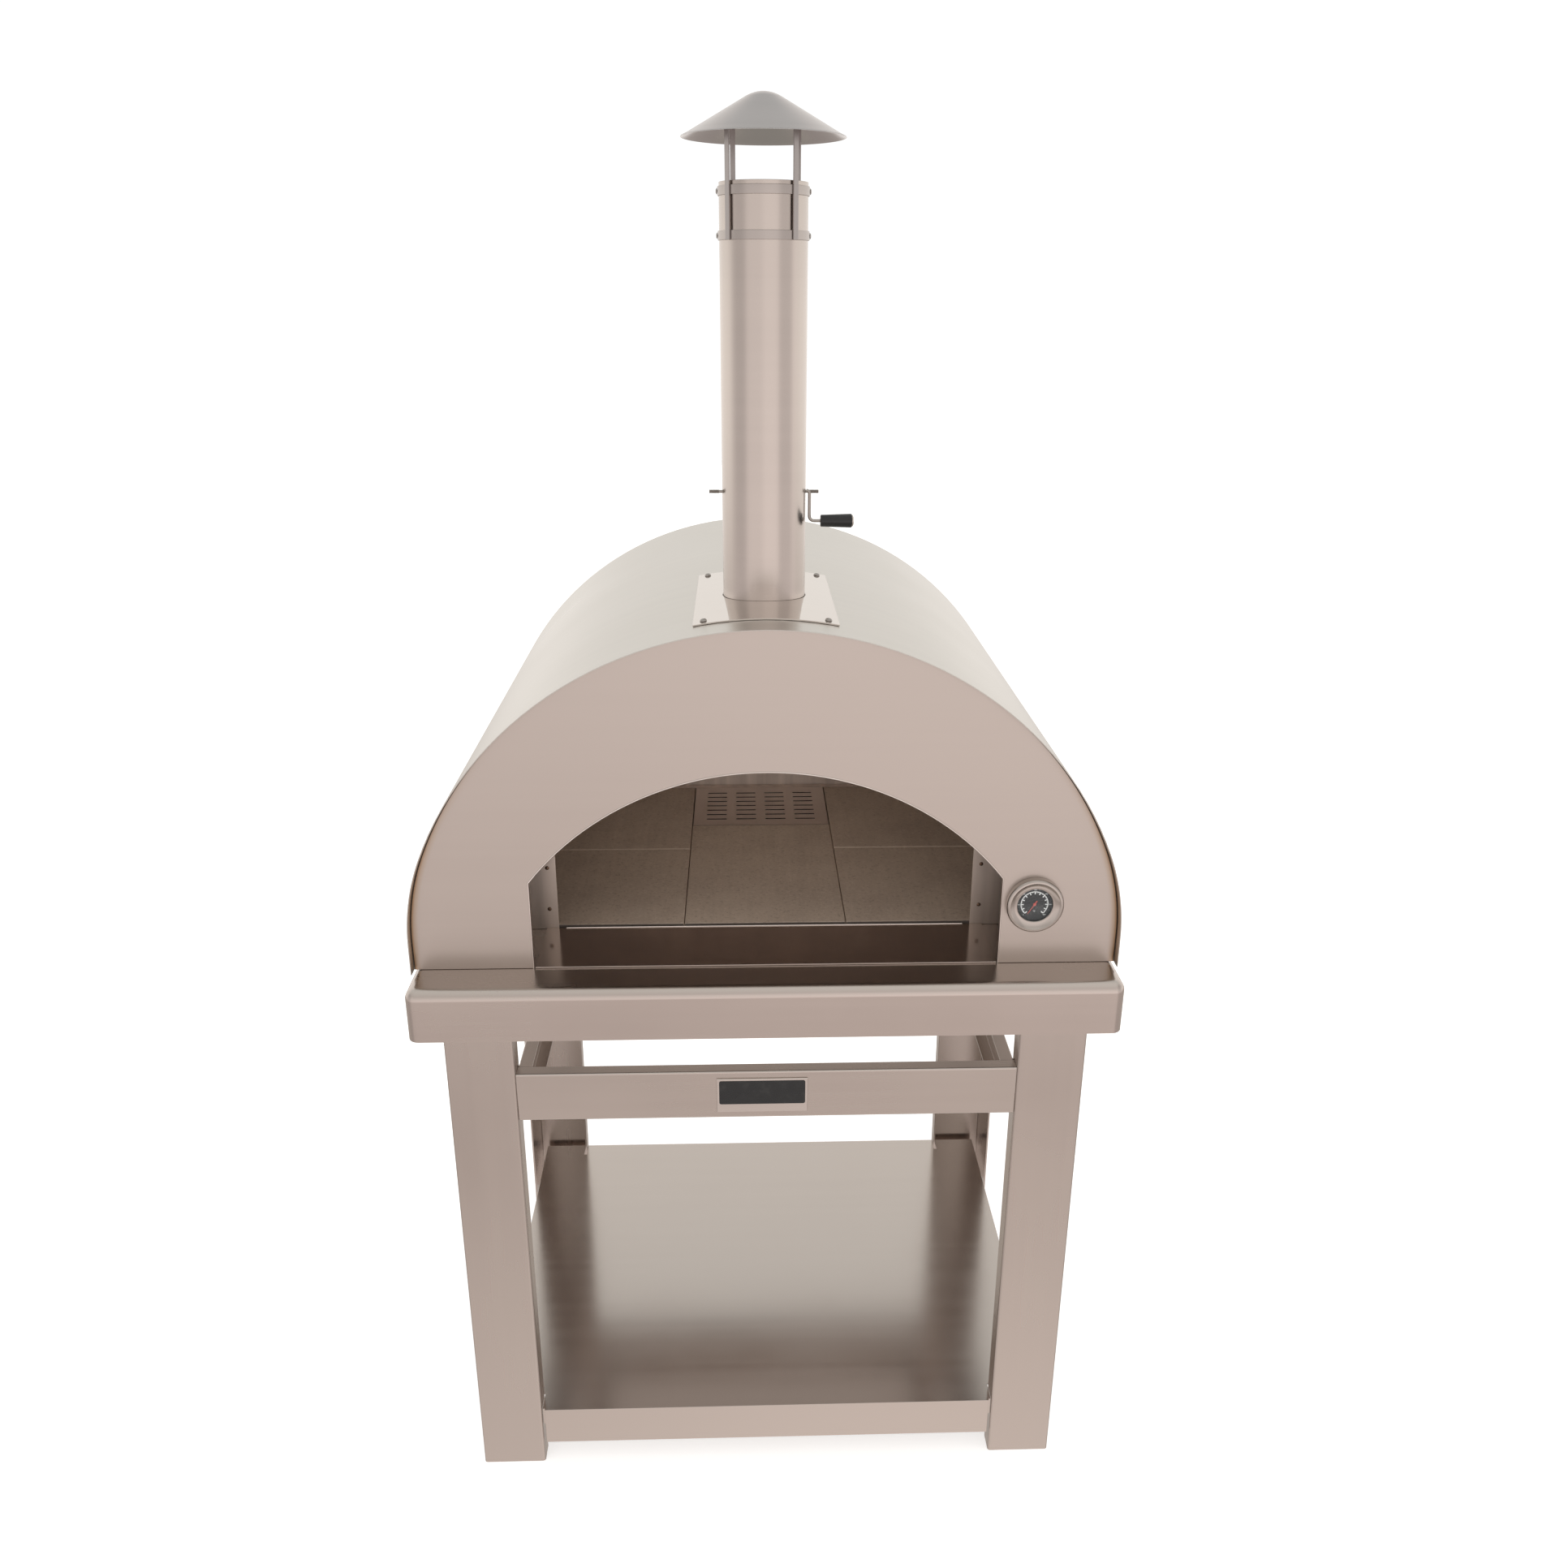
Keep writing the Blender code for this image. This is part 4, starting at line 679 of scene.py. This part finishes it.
def build_worktop():
    """A folded tray, open below, with rounded top edges and corners and the hearth cut out."""
    lo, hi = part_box("worktop")
    bm = bmesh.new()
    bmesh.ops.create_cube(bm, size=1)
    size = hi - lo
    bmesh.ops.scale(bm, verts=bm.verts[:], vec=size)
    bmesh.ops.translate(bm, verts=bm.verts[:], vec=(lo + hi) / 2)
    rounded(bm, corners(bm, 60, (0, 0, 1)), LIP_ROUND + 1 * MM, 10)
    top = [edge for edge in corners(bm, 60) if all(abs(v.co.z - hi.z) < 1e-6 for v in edge.verts)]
    rounded(bm, top, LIP_ROUND, 12)
    bm.normal_update()
    below = [face for face in bm.faces if face.normal.z < -0.9]
    bmesh.ops.delete(bm, geom=below, context="FACES")
    hearth_lo, hearth_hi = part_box("hearth_board")
    gap = SHEET_GAP
    for spot, normal in (
        ((hearth_lo.x - gap, 0, 0), (1, 0, 0)),
        ((hearth_hi.x + gap, 0, 0), (1, 0, 0)),
        ((0, hearth_lo.y - gap, 0), (0, 1, 0)),
        ((0, hearth_hi.y + gap, 0), (0, 1, 0)),
    ):
        everything = bm.verts[:] + bm.edges[:] + bm.faces[:]
        bmesh.ops.bisect_plane(bm, geom=everything, plane_co=spot, plane_no=normal)
    cut = []
    for face in bm.faces:
        at = face.calc_center_median()
        inside = hearth_lo.x < at.x < hearth_hi.x and hearth_lo.y < at.y < hearth_hi.y
        if inside and at.z > hi.z - MM:
            cut.append(face)
    bmesh.ops.delete(bm, geom=cut, context="FACES")
    bmesh.ops.dissolve_limit(bm, angle_limit=radians(0.5), verts=bm.verts[:], edges=bm.edges[:])
    facing(bm, lambda at: at - Vector((0, 0, lo.z)))
    thickened(bm, SHEET)
    rounded(bm, corners(bm, 60), 0.3 * MM, 2)
    piece(bm, "worktop_tray", "oven", WORKTOP, ["worktop"])
    piece(softened("base_pan", 0.6 * MM), "base_pan_sheet", "oven", PAN, ["base_pan"])


def build_hearth():
    for place in ("centre", "front_left", "front_right", "rear_left", "rear_right"):
        node = "floor_tile_" + place
        piece(softened(node, 1.6 * MM, 3), node + "_fired", "oven", TILE, [node])
    keep_node("hearth_board", BOARD)
    bm = softened("hearth_rear_strip", 0.6 * MM)
    piece(bm, "rear_strip_folded", "oven", CHAMBER, ["hearth_rear_strip"])
    bm = merged_copy("ash_grate")
    lo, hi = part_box("ash_grate")
    slots = []
    for edge in corners(bm, 60, (0, 0, 1)):
        at = edge.verts[0].co
        within_x = lo.x + SLOT_MARGIN < at.x < hi.x - SLOT_MARGIN
        if within_x and lo.y + SLOT_MARGIN < at.y < hi.y - SLOT_MARGIN:
            slots.append(edge)
    rounded(bm, slots, 2.3 * MM, 4)
    rounded(bm, corners(bm, 60), 0.25 * MM, 1)
    piece(bm, "ash_grate_punched", "grate", GRATE, ["ash_grate"])
    piece(softened("sill_plate", 0.45 * MM, 3), "sill_plate_polished", "oven", SILL, ["sill_plate"])


# --- body -------------------------------------------------------------------------------------


def build_body():
    bm = arched_sheet(shell, shell_lo.y, shell_hi.y, SHEET)
    piece(bm, "outer_shell_rolled", "oven", SHELL, ["outer_shell"])
    lo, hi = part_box("front_panel")
    bm = bmesh.new()
    outer = shell.drawn(bm, lo.y)
    fit_inside(outer, shell, SHEET + SHEET_GAP)
    inner = mouth_drawn(bm, lo.y)
    rim = [edge for edge in bm.edges if edge.verts[0] in inner and edge.verts[1] in inner]
    bm.edges.new((outer[0], inner[0]))
    bm.edges.new((outer[-1], inner[-1]))
    bmesh.ops.contextual_create(bm, geom=bm.edges[:])
    grown_along(bm, rim, (0, hi.y - lo.y, 0))
    bmesh.ops.recalc_face_normals(bm, faces=bm.faces[:])
    bm.normal_update()
    if max(bm.faces, key=lambda face: face.calc_area()).normal.y > 0:
        bmesh.ops.reverse_faces(bm, faces=bm.faces[:])
    thickened(bm, SHEET)
    folds = [e for e in corners(bm, 60) if all(v.co.y < lo.y + 2 * MM for v in e.verts)]
    rounded(bm, folds, 1.1 * MM, 4)
    piece(bm, "front_panel_pressed", "oven", PANEL, ["front_panel"])
    build_mouth_rim(lo.y)
    rear_lo, rear_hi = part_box("rear_panel")
    bm = arched_plate(shell, rear_lo.y, SHEET + SHEET_GAP, rear_hi.y - rear_lo.y)
    piece(bm, "rear_panel_flat", "oven", RAIL, ["rear_panel"])
    bm = softened("chamber_front_wall", 0.4 * MM)
    piece(bm, "chamber_front_pressed", "oven", CHAMBER, ["chamber_front_wall"])
    bm = arched_sheet(vault, vault_lo.y, vault_hi.y, 2 * MM, (16, 40))
    piece(bm, "chamber_vault_rolled", "oven", VAULT, ["chamber_vault"])
    wall_lo, wall_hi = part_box("chamber_rear_wall")
    bm = arched_plate(vault, wall_lo.y, 0.0, wall_hi.y - wall_lo.y)
    piece(bm, "chamber_rear_flat", "oven", CHAMBER, ["chamber_rear_wall"])
    keep_node("insulation_blanket", WOOL)
    keep_node("insulation_rear", WOOL)
    build_rivets()


def rod(name, points, radius, finish):
    """A round rod along points, made a mesh."""
    curve = bpy.data.curves.new(name, "CURVE")
    curve.dimensions = "3D"
    curve.bevel_depth = radius
    curve.bevel_resolution = 3
    curve.use_fill_caps = True
    spline = curve.splines.new("POLY")
    spline.points.add(len(points) - 1)
    for point, place in zip(spline.points, points):
        point.co = (*place, 1)
    held = bpy.data.objects.new(name, curve)
    bpy.context.scene.collection.objects.link(held)
    depsgraph = bpy.context.evaluated_depsgraph_get()
    mesh = bpy.data.meshes.new_from_object(held.evaluated_get(depsgraph))
    bpy.data.objects.remove(held)
    bm = bmesh.new()
    bm.from_mesh(mesh)
    bpy.data.meshes.remove(mesh)
    return piece(closed(bm), name, "oven", finish)


def build_mouth_rim(y):
    """The hem rolled round the mouth's edge, and the one along the sill's rear edge."""
    bm = bmesh.new()
    points = [vert.co.copy() for vert in mouth_drawn(bm, y - 0.1 * MM)]
    bm.free()
    rod("mouth_rim_hem", points, 1.0 * MM, RIM)
    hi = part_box("sill_plate")[1]
    ends = [Vector((hand * SILL_HEM_HALF, hi.y - 1.2 * MM, hi.z + 0.5 * MM)) for hand in (-1, 1)]
    rod("sill_rear_hem", ends, 1.2 * MM, RIM)


def build_rivets():
    """Domed rivets that hold the chamber's front wall, two on each side of its mouth."""
    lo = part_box("chamber_front_wall")[0]
    bm = bmesh.new()
    dome = [(0, 1.6), (1.2, 1.45), (2.3, 1.0), (3.0, 0.35), (3.1, 0), (0, 0)]
    for hand in (-1, 1):
        for height in RIVET_HEIGHTS:
            place = (hand * RIVET_X, lo.y, lo.z + height)
            one = turned([(r * MM, h * MM) for r, h in dome], place, "-Y", 20)
            mesh = bpy.data.meshes.new("rivet")
            one.to_mesh(mesh)
            one.free()
            bm.from_mesh(mesh)
            bpy.data.meshes.remove(mesh)
    piece(bm, "chamber_wall_rivets", "oven", RIVET)


# --- flue and damper --------------------------------------------------------------------------


def build_flue():
    lo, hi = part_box("flue_pipe")
    x, y = (lo.x + hi.x) / 2, (lo.y + hi.y) / 2
    outer = (hi.x - lo.x) / 2
    inner = outer - 1 * MM
    profile = quarter((outer - 0.5 * MM, hi.z - 0.5 * MM), 0.5 * MM, 0, 180, 6)
    profile += [(inner, lo.z), (outer, lo.z)]
    piece(turned(profile, (x, y, 0), steps=128), "flue_pipe_rolled", "oven", FLUE, ["flue_pipe"])
    bm = softened("flue_saddle", 0.35 * MM, 2)
    piece(bm, "flue_saddle_polished", "oven", MIRROR, ["flue_saddle"])
    for number in range(1, 5):
        build_bolt(f"saddle_bolt_{number}")
    build_damper()


def build_bolt(node):
    """A low domed head with a flat land round it, on its shank, square to the shell's crown."""
    lo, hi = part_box(node)
    x, y = (lo.x + hi.x) / 2, (lo.y + hi.y) / 2
    reach = shell.crown_radius + 2.3 * MM + 1.6 * MM
    tilt = asin(x / reach)
    seat = shell.crown_radius + SHEET_GAP + 2 * MM + SHEET_GAP
    place = (seat * sin(tilt), y, shell.crown_z + seat * cos(tilt))
    head = [(0, 3.2), (1.6, 3.1), (3.0, 2.6), (4.1, 1.7), (4.7, 0.8), (4.8, 0.3), (4.7, 0)]
    head += [(2.5, 0), (2.5, -7.4), (0, -7.4)]
    turn = Matrix.Rotation(tilt, 4, "Y")
    bm = turned([(r * MM, h * MM) for r, h in head], place, turn, 32)
    piece(bm, node + "_domed", "oven", DULL, [node])


def build_damper():
    """The shaft with its thread drawn as grooves at both ends, the blade and its two screws."""
    lo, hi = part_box("damper_shaft")
    y, z = (lo.y + hi.y) / 2, (lo.z + hi.z) / 2
    end = hi.x
    thread = []
    pitch = 0.9 * MM
    count = 15
    for turn in range(count):
        at = end - 0.5 * MM - turn * pitch
        thread += [(2.5 * MM, at), (2.5 * MM, at - 0.2 * MM), (2.05 * MM, at - 0.55 * MM)]
    line = [(0, end), (2.1 * MM, end)] + thread
    low = [(radius, -height) for radius, height in reversed(line)]
    bm = turned(line + low, (0, y, z), "X", 20)
    piece(bm, "damper_shaft_threaded", "damper", DULL, ["damper_shaft"])
    piece(softened("damper_blade", 0.3 * MM), "damper_blade_disc", "damper", CHAMBER, ["damper_blade"])
    for node in ("damper_screw_1", "damper_screw_2"):
        piece(softened(node, 0.2 * MM), node + "_pan_head", "damper", BRIGHT, [node])
    build_crank()


def build_crank():
    """Grey wire, bent down and out again into a black grip with a silver dome on its end."""
    lo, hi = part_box("damper_crank")
    radius = (hi.y - lo.y) / 2
    y = (lo.y + hi.y) / 2
    top = hi.z - radius
    foot = lo.z + radius
    bend = 4.4 * MM
    low_bend = 6.5 * MM
    bm = bmesh.new()
    ring = bmesh.ops.create_circle(bm, cap_ends=True, radius=radius, segments=16)["verts"]
    bmesh.ops.rotate(bm, verts=ring, matrix=Matrix.Rotation(pi / 2, 3, "Y"))
    bmesh.ops.translate(bm, verts=ring, vec=(lo.x, y, top))
    end = bm.faces[:]
    drop = top - bend - foot - low_bend
    run = hi.x - lo.x - bend - low_bend
    for centre, angle, reach in (
        ((lo.x, y, top - bend), pi / 2, (0, 0, -drop)),
        ((lo.x + bend + low_bend, y, foot + low_bend), -pi / 2, (run, 0, 0)),
    ):
        grown = bmesh.ops.spin(
            bm, geom=end, cent=centre, axis=(0, 1, 0), angle=angle, steps=10,
            use_merge=False, use_duplicate=False,
        )["geom_last"]
        end = [item for item in grown if isinstance(item, bmesh.types.BMFace)]
        pulled = bmesh.ops.extrude_face_region(bm, geom=end)["geom"]
        moved = [item for item in pulled if isinstance(item, bmesh.types.BMVert)]
        bmesh.ops.delete(bm, geom=end, context="FACES_ONLY")
        bmesh.ops.translate(bm, verts=moved, vec=reach)
        end = [item for item in pulled if isinstance(item, bmesh.types.BMFace)]
    closed(bm)
    piece(bm, "damper_crank_wire", "damper", DULL, ["damper_crank"])
    grip_lo, grip_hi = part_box("damper_grip")
    axis_y, axis_z = (grip_lo.y + grip_hi.y) / 2, (grip_lo.z + grip_hi.z) / 2
    length = grip_hi.x - grip_lo.x
    far = (grip_hi.y - grip_lo.y) / 2
    near = 8.3 * MM
    bore = 2.5 * MM
    soft = 1.4 * MM
    outline = [(bore, 0.0)] + quarter((near - soft, soft), soft, -90, 0, 5)
    outline += quarter((far - soft, length - soft), soft, 0, 90, 5) + [(bore, length)]
    bm = turned(outline, (grip_lo.x, axis_y, axis_z), "X", 48)
    piece(bm, "damper_grip_moulded", "damper", GRIP, ["damper_grip"])
    cap_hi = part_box("grip_end_cap")[1]
    base = grip_hi.x - grip_lo.x + 0.3 * MM
    rise = cap_hi.x - grip_hi.x - 0.3 * MM
    rim = far - 1.2 * MM
    dome = [(rim * cos(a), base + rise * sin(a)) for a in [pi / 2 * k / 8 for k in range(8, -1, -1)]]
    dome[0] = (0, dome[0][1])
    dome += [(2.2 * MM, base), (2.2 * MM, base - 9.9 * MM), (0, base - 9.9 * MM)]
    bm = turned(dome, (grip_lo.x, axis_y, axis_z), "X", 32)
    piece(bm, "grip_end_dome", "damper", BRIGHT, ["grip_end_cap"])


# --- rain cap ---------------------------------------------------------------------------------


def build_rain_cap():
    """A spun cone with a rounded nose, on four struts held by two clamp bands."""
    lo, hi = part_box("rain_cap")
    y = (lo.y + hi.y) / 2
    radius = (hi.x - lo.x) / 2
    rise = hi.z - lo.z
    shoulder = CAP_CONE * (1 - CAP_NOSE / radius)
    outer = [(0, rise)]
    for step in range(1, 13):
        t = step / 12
        outer.append((CAP_NOSE * t, rise - (rise - shoulder) * t * t))
    for step in range(1, 12):
        t = step / 12
        outer.append((CAP_NOSE + (radius - CAP_NOSE) * t, shoulder * (1 - t)))
    outer += [(radius - 0.4 * MM, 0.7 * MM), (radius, 0.0)]
    inner = [(max(r - 0.3 * MM, 0), h - 1.1 * MM) for r, h in outer[:-2]]
    inner = [(radius - 1.2 * MM, 0.0)] + list(reversed(inner))
    bm = turned(outer + inner, (0, y, lo.z), steps=128)
    piece(bm, "rain_cap_spun", "oven", CAP, ["rain_cap"])
    for number in range(1, 5):
        node = f"cap_strut_{number}"
        piece(softened(node, 0.4 * MM), node + "_strip", "oven", STRUT, [node])
    for place in ("upper", "lower"):
        build_band("cap_band_" + place)
        for side, hand in (("left", -1), ("right", 1)):
            build_band_screw(f"band_screw_{place}_{side}", hand)


def build_band(node):
    """A clamp band with rolled edges."""
    lo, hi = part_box(node)
    y = (lo.y + hi.y) / 2
    outer = (hi.x - lo.x) / 2
    inner = outer - 1.5 * MM
    soft = 0.6 * MM
    line = quarter((outer - soft, lo.z + soft), soft, -90, 0, 4)
    line += quarter((outer - soft, hi.z - soft), soft, 0, 90, 4)
    line += [(inner, hi.z), (inner, lo.z)]
    piece(turned(line, (0, y, 0), steps=96), node + "_clamp", "oven", BAND, [node])


def build_band_screw(node, hand):
    lo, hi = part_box(node)
    y, z = (lo.y + hi.y) / 2, (lo.z + hi.z) / 2
    seat = hi.x - 1.8 * MM if hand > 0 else lo.x + 1.8 * MM
    head = [(0, 1.8), (1.6, 1.75), (2.9, 1.3), (3.7, 0.6), (4.0, 0.1), (3.9, 0)]
    head += [(1.5, 0), (1.5, -4.5), (0, -4.5)]
    turn = Matrix.Rotation(hand * pi / 2, 4, "Y")
    bm = turned([(r * MM, h * MM) for r, h in head], (seat, y, z), turn, 24)
    piece(bm, node + "_pan_head", "oven", DULL, [node])


# --- thermometer ------------------------------------------------------------------------------


def build_thermometer():
    lo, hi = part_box("thermometer_bezel")
    x, z = (lo.x + hi.x) / 2, (lo.z + hi.z) / 2
    back = hi.y
    radius = (hi.x - lo.x) / 2
    height = hi.y - lo.y
    glass_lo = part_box("thermometer_lens")[0]
    seat = back - glass_lo.y + 0.3 * MM
    window = 25 * MM
    cup = 29.3 * MM
    line = [(window, seat), (window, seat + 0.8 * MM)]
    line += [(window + 0.7 * MM, seat + 1.6 * MM)]
    line += [(radius - 11 * MM, height * 0.66), (radius - 7.0 * MM, height * 0.86)]
    line += [(radius - 5.0 * MM, height)]
    line += quarter((radius - 4.0 * MM, height - 4.0 * MM), 4.0 * MM, 90, 0, 8)[1:]
    line += [(radius, 0.4 * MM), (radius - 0.4 * MM, 0), (cup, 0), (cup, seat)]
    bm = turned(line, (x, back, z), "-Y", 96)
    piece(bm, "thermometer_bezel_dished", "oven", BEZEL, ["thermometer_bezel"])
    dial_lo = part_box("thermometer_dial")[0]
    keep_node("thermometer_dial", DIAL)
    keep_node("thermometer_lens", LENS)
    keep_node("thermometer_probe", BRIGHT)
    keep_node("thermometer_nut", BRIGHT)
    build_scale(Vector((x, dial_lo.y, z)))
    bm = softened("thermometer_needle", 0.1 * MM, 1)
    piece(bm, "thermometer_needle_painted", "needle", NEEDLE, ["thermometer_needle"])


def build_scale(centre):
    """Printed arc, ticks and numbers on the dial, as thin raised ink."""
    bm = bmesh.new()
    ink = 0.08 * MM

    def mark(radius, clock, wide, long):
        made = bmesh.ops.create_cube(bm, size=1)["verts"]
        bmesh.ops.scale(bm, verts=made, vec=(wide, ink, long))
        bmesh.ops.translate(bm, verts=made, vec=(0, -ink / 2, radius))
        turn = Matrix.Rotation(radians(clock), 3, "Y")
        bmesh.ops.rotate(bm, verts=made, cent=(0, 0, 0), matrix=turn)

    start, sweep, count = -138, 276, 12
    for step in range(count + 1):
        mark(17.0 * MM, start + sweep * step / count, 1.5 * MM, 3.6 * MM)
    for step in range(count):
        mark(18.0 * MM, start + sweep * (step + 0.5) / count, 0.6 * MM, 1.8 * MM)
    near, far = 18.4 * MM, 19.6 * MM
    verts = [bm.verts.new((r, -t, 0)) for r, t in ((near, 0), (near, ink), (far, ink), (far, 0))]
    edges = [bm.edges.new((verts[i], verts[(i + 1) % 4])) for i in range(4)]
    turn = Matrix.Rotation(radians(start - 90), 3, "Y")
    bmesh.ops.rotate(bm, verts=verts, cent=(0, 0, 0), matrix=turn)
    bmesh.ops.spin(
        bm, geom=verts + edges, cent=(0, 0, 0), axis=(0, 1, 0), angle=radians(sweep), steps=72,
        use_merge=False, use_duplicate=False,
    )
    ends = [edge for edge in bm.edges if edge.is_boundary]
    bmesh.ops.holes_fill(bm, edges=ends, sides=4)
    bmesh.ops.recalc_face_normals(bm, faces=bm.faces[:])
    for step in range(0, count + 1, 2):
        clock = start + sweep * step / count
        add_text(bm, str(50 * step), clock, 22.2 * MM, 2.7 * MM, ink)
    add_text(bm, "°C", 180, 11.0 * MM, 3.4 * MM, ink)
    bmesh.ops.translate(bm, verts=bm.verts[:], vec=centre)
    piece(bm, "thermometer_scale_print", "oven", MARKS)


def add_text(bm, words, clock, radius, size, ink):
    """Adds upright words at this clock angle and radius, facing forwards."""
    curve = bpy.data.curves.new("words", "FONT")
    curve.body = words
    curve.size = size
    curve.align_x = "CENTER"
    curve.align_y = "CENTER"
    curve.extrude = ink / 2
    held = bpy.data.objects.new("words", curve)
    bpy.context.scene.collection.objects.link(held)
    depsgraph = bpy.context.evaluated_depsgraph_get()
    mesh = bpy.data.meshes.new_from_object(held.evaluated_get(depsgraph))
    bpy.data.objects.remove(held)
    turn = Matrix.Rotation(pi / 2, 4, "X")
    angle = radians(clock)
    place = Matrix.Translation((radius * sin(angle), -ink / 2, radius * cos(angle)))
    mesh.transform(place @ turn)
    bm.from_mesh(mesh)
    bpy.data.meshes.remove(mesh)


# --- studio -----------------------------------------------------------------------------------


def build_studio():
    """A white floor and soft lights. The steel mirrors the world, so it doesn't see the floor."""
    bm = bmesh.new()
    bmesh.ops.create_grid(bm, x_segments=1, y_segments=1, size=FLOOR_SIZE)
    mesh = bpy.data.meshes.new("studio_floor")
    bm.to_mesh(mesh)
    bm.free()
    finish = Finish("studio_floor_paint")
    cloud = finish.noise(0.6, 2.0, 0.5)
    paint = finish.mix(cloud, (0.78, 0.775, 0.77), (0.80, 0.795, 0.79))
    emission = {"Emission_Color": (1, 1, 1), "Emission_Strength": FLOOR_GLOW}
    mesh.materials.append(finish.done(Base_Color=paint, Roughness=0.9, **emission))
    floor = bpy.data.objects.new("studio_floor", mesh)
    bpy.context.scene.collection.objects.link(floor)
    floor.visible_glossy = False
    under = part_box("base_pan")[0].z - 5 * MM
    # Name, place, aim, size, brightness and colour. Only the shelf's light is mirrored.
    for name, place, aim, size, glow, colour in (
        ("key_softbox", (-2.6, -4.2, 3.6), (0, -0.2, 1.0), (2.4, 2.4), 1.0, (1.0, 0.985, 0.96)),
        ("side_softbox", (4.0, -1.6, 2.2), (0, -0.2, 1.2), (3.0, 3.4), 0.5, (1.0, 0.97, 0.92)),
        ("overhead_softbox", (0.2, 1.4, 4.6), (0, 0.0, 1.0), (3.0, 2.4), 1.4, (0.97, 1.0, 0.97)),
        ("chamber_fill", (0, 0.02, 1.20), (0, 0.02, 0.8), (0.6, 0.4), 0.40, (1.0, 0.87, 0.76)),
        ("shelf_fill", (0, 0, under), (0, 0, 0), (0.86, 0.80), 0.24, (1.0, 0.93, 0.88)),
    ):
        light = bpy.data.lights.new(name, "AREA")
        light.shape = "RECTANGLE"
        light.size, light.size_y = size
        light.energy = glow * pi * size[0] * size[1]
        light.color = colour
        lamp = bpy.data.objects.new(name, light)
        lamp.location = place
        lamp.rotation_euler = (Vector(aim) - Vector(place)).to_track_quat("-Z", "Y").to_euler()
        lamp.visible_camera = False
        lamp.visible_glossy = name == "shelf_fill"
        bpy.context.scene.collection.objects.link(lamp)
    build_world()


def build_world():
    """A white cyclorama to the eye. The steel mirrors a softer one, darker low in front."""
    world = bpy.data.worlds.new("studio_world")
    bpy.context.scene.world = world
    sky = Nodes(world, "Generated")
    height = sky.axis("z") * 0.5 + 0.5
    front = sky.add("ValToRGB", {"stops": FRONT_GLOW}, {0: height})
    back = sky.add("ValToRGB", {"stops": BACK_GLOW}, {0: height})
    behind = sky.axis("y").step(-0.25, 0.35)
    sides = sky.add("ValToRGB", {"stops": SIDE_GLOW}, {0: sky.axis("x") * 0.5 + 0.5})
    glow = sky.mix(behind, sky.mix(1.0, front, sides, "MULTIPLY"), back)
    lit = sky.add("Background", None, {0: glow, 1: 1.0})
    seen = sky.add("Background", None, {0: (1, 1, 1), 1: WHITE_GLOW})
    eye = sky.add("LightPath", out="Is Camera Ray")
    both = sky.add("MixShader", None, {0: eye, 1: lit, 2: seen})
    sky.tree.links.new(both.socket, sky.tree.nodes.new("ShaderNodeOutputWorld").inputs[0])


def build_camera():
    view = bpy.data.cameras.new("camera")
    view.lens = LENS_MM
    view.sensor_width = SENSOR_MM
    view.clip_end = 100
    camera = bpy.data.objects.new("camera", view)
    yaw, pitch, roll = CAMERA_TURN
    turn = Matrix.Rotation(yaw, 4, "Z") @ Matrix.Rotation(pi / 2 + pitch, 4, "X")
    turn = turn @ Matrix.Rotation(roll, 4, "Z")
    camera.matrix_world = Matrix.Translation(CAMERA_PLACE) @ turn
    bpy.context.scene.collection.objects.link(camera)
    bpy.context.scene.camera = camera
    bpy.context.scene.view_settings.view_transform = "Standard"


build_stand()
build_badge()
build_worktop()
build_hearth()
build_body()
build_flue()
build_rain_cap()
build_thermometer()
build_studio()
build_camera()
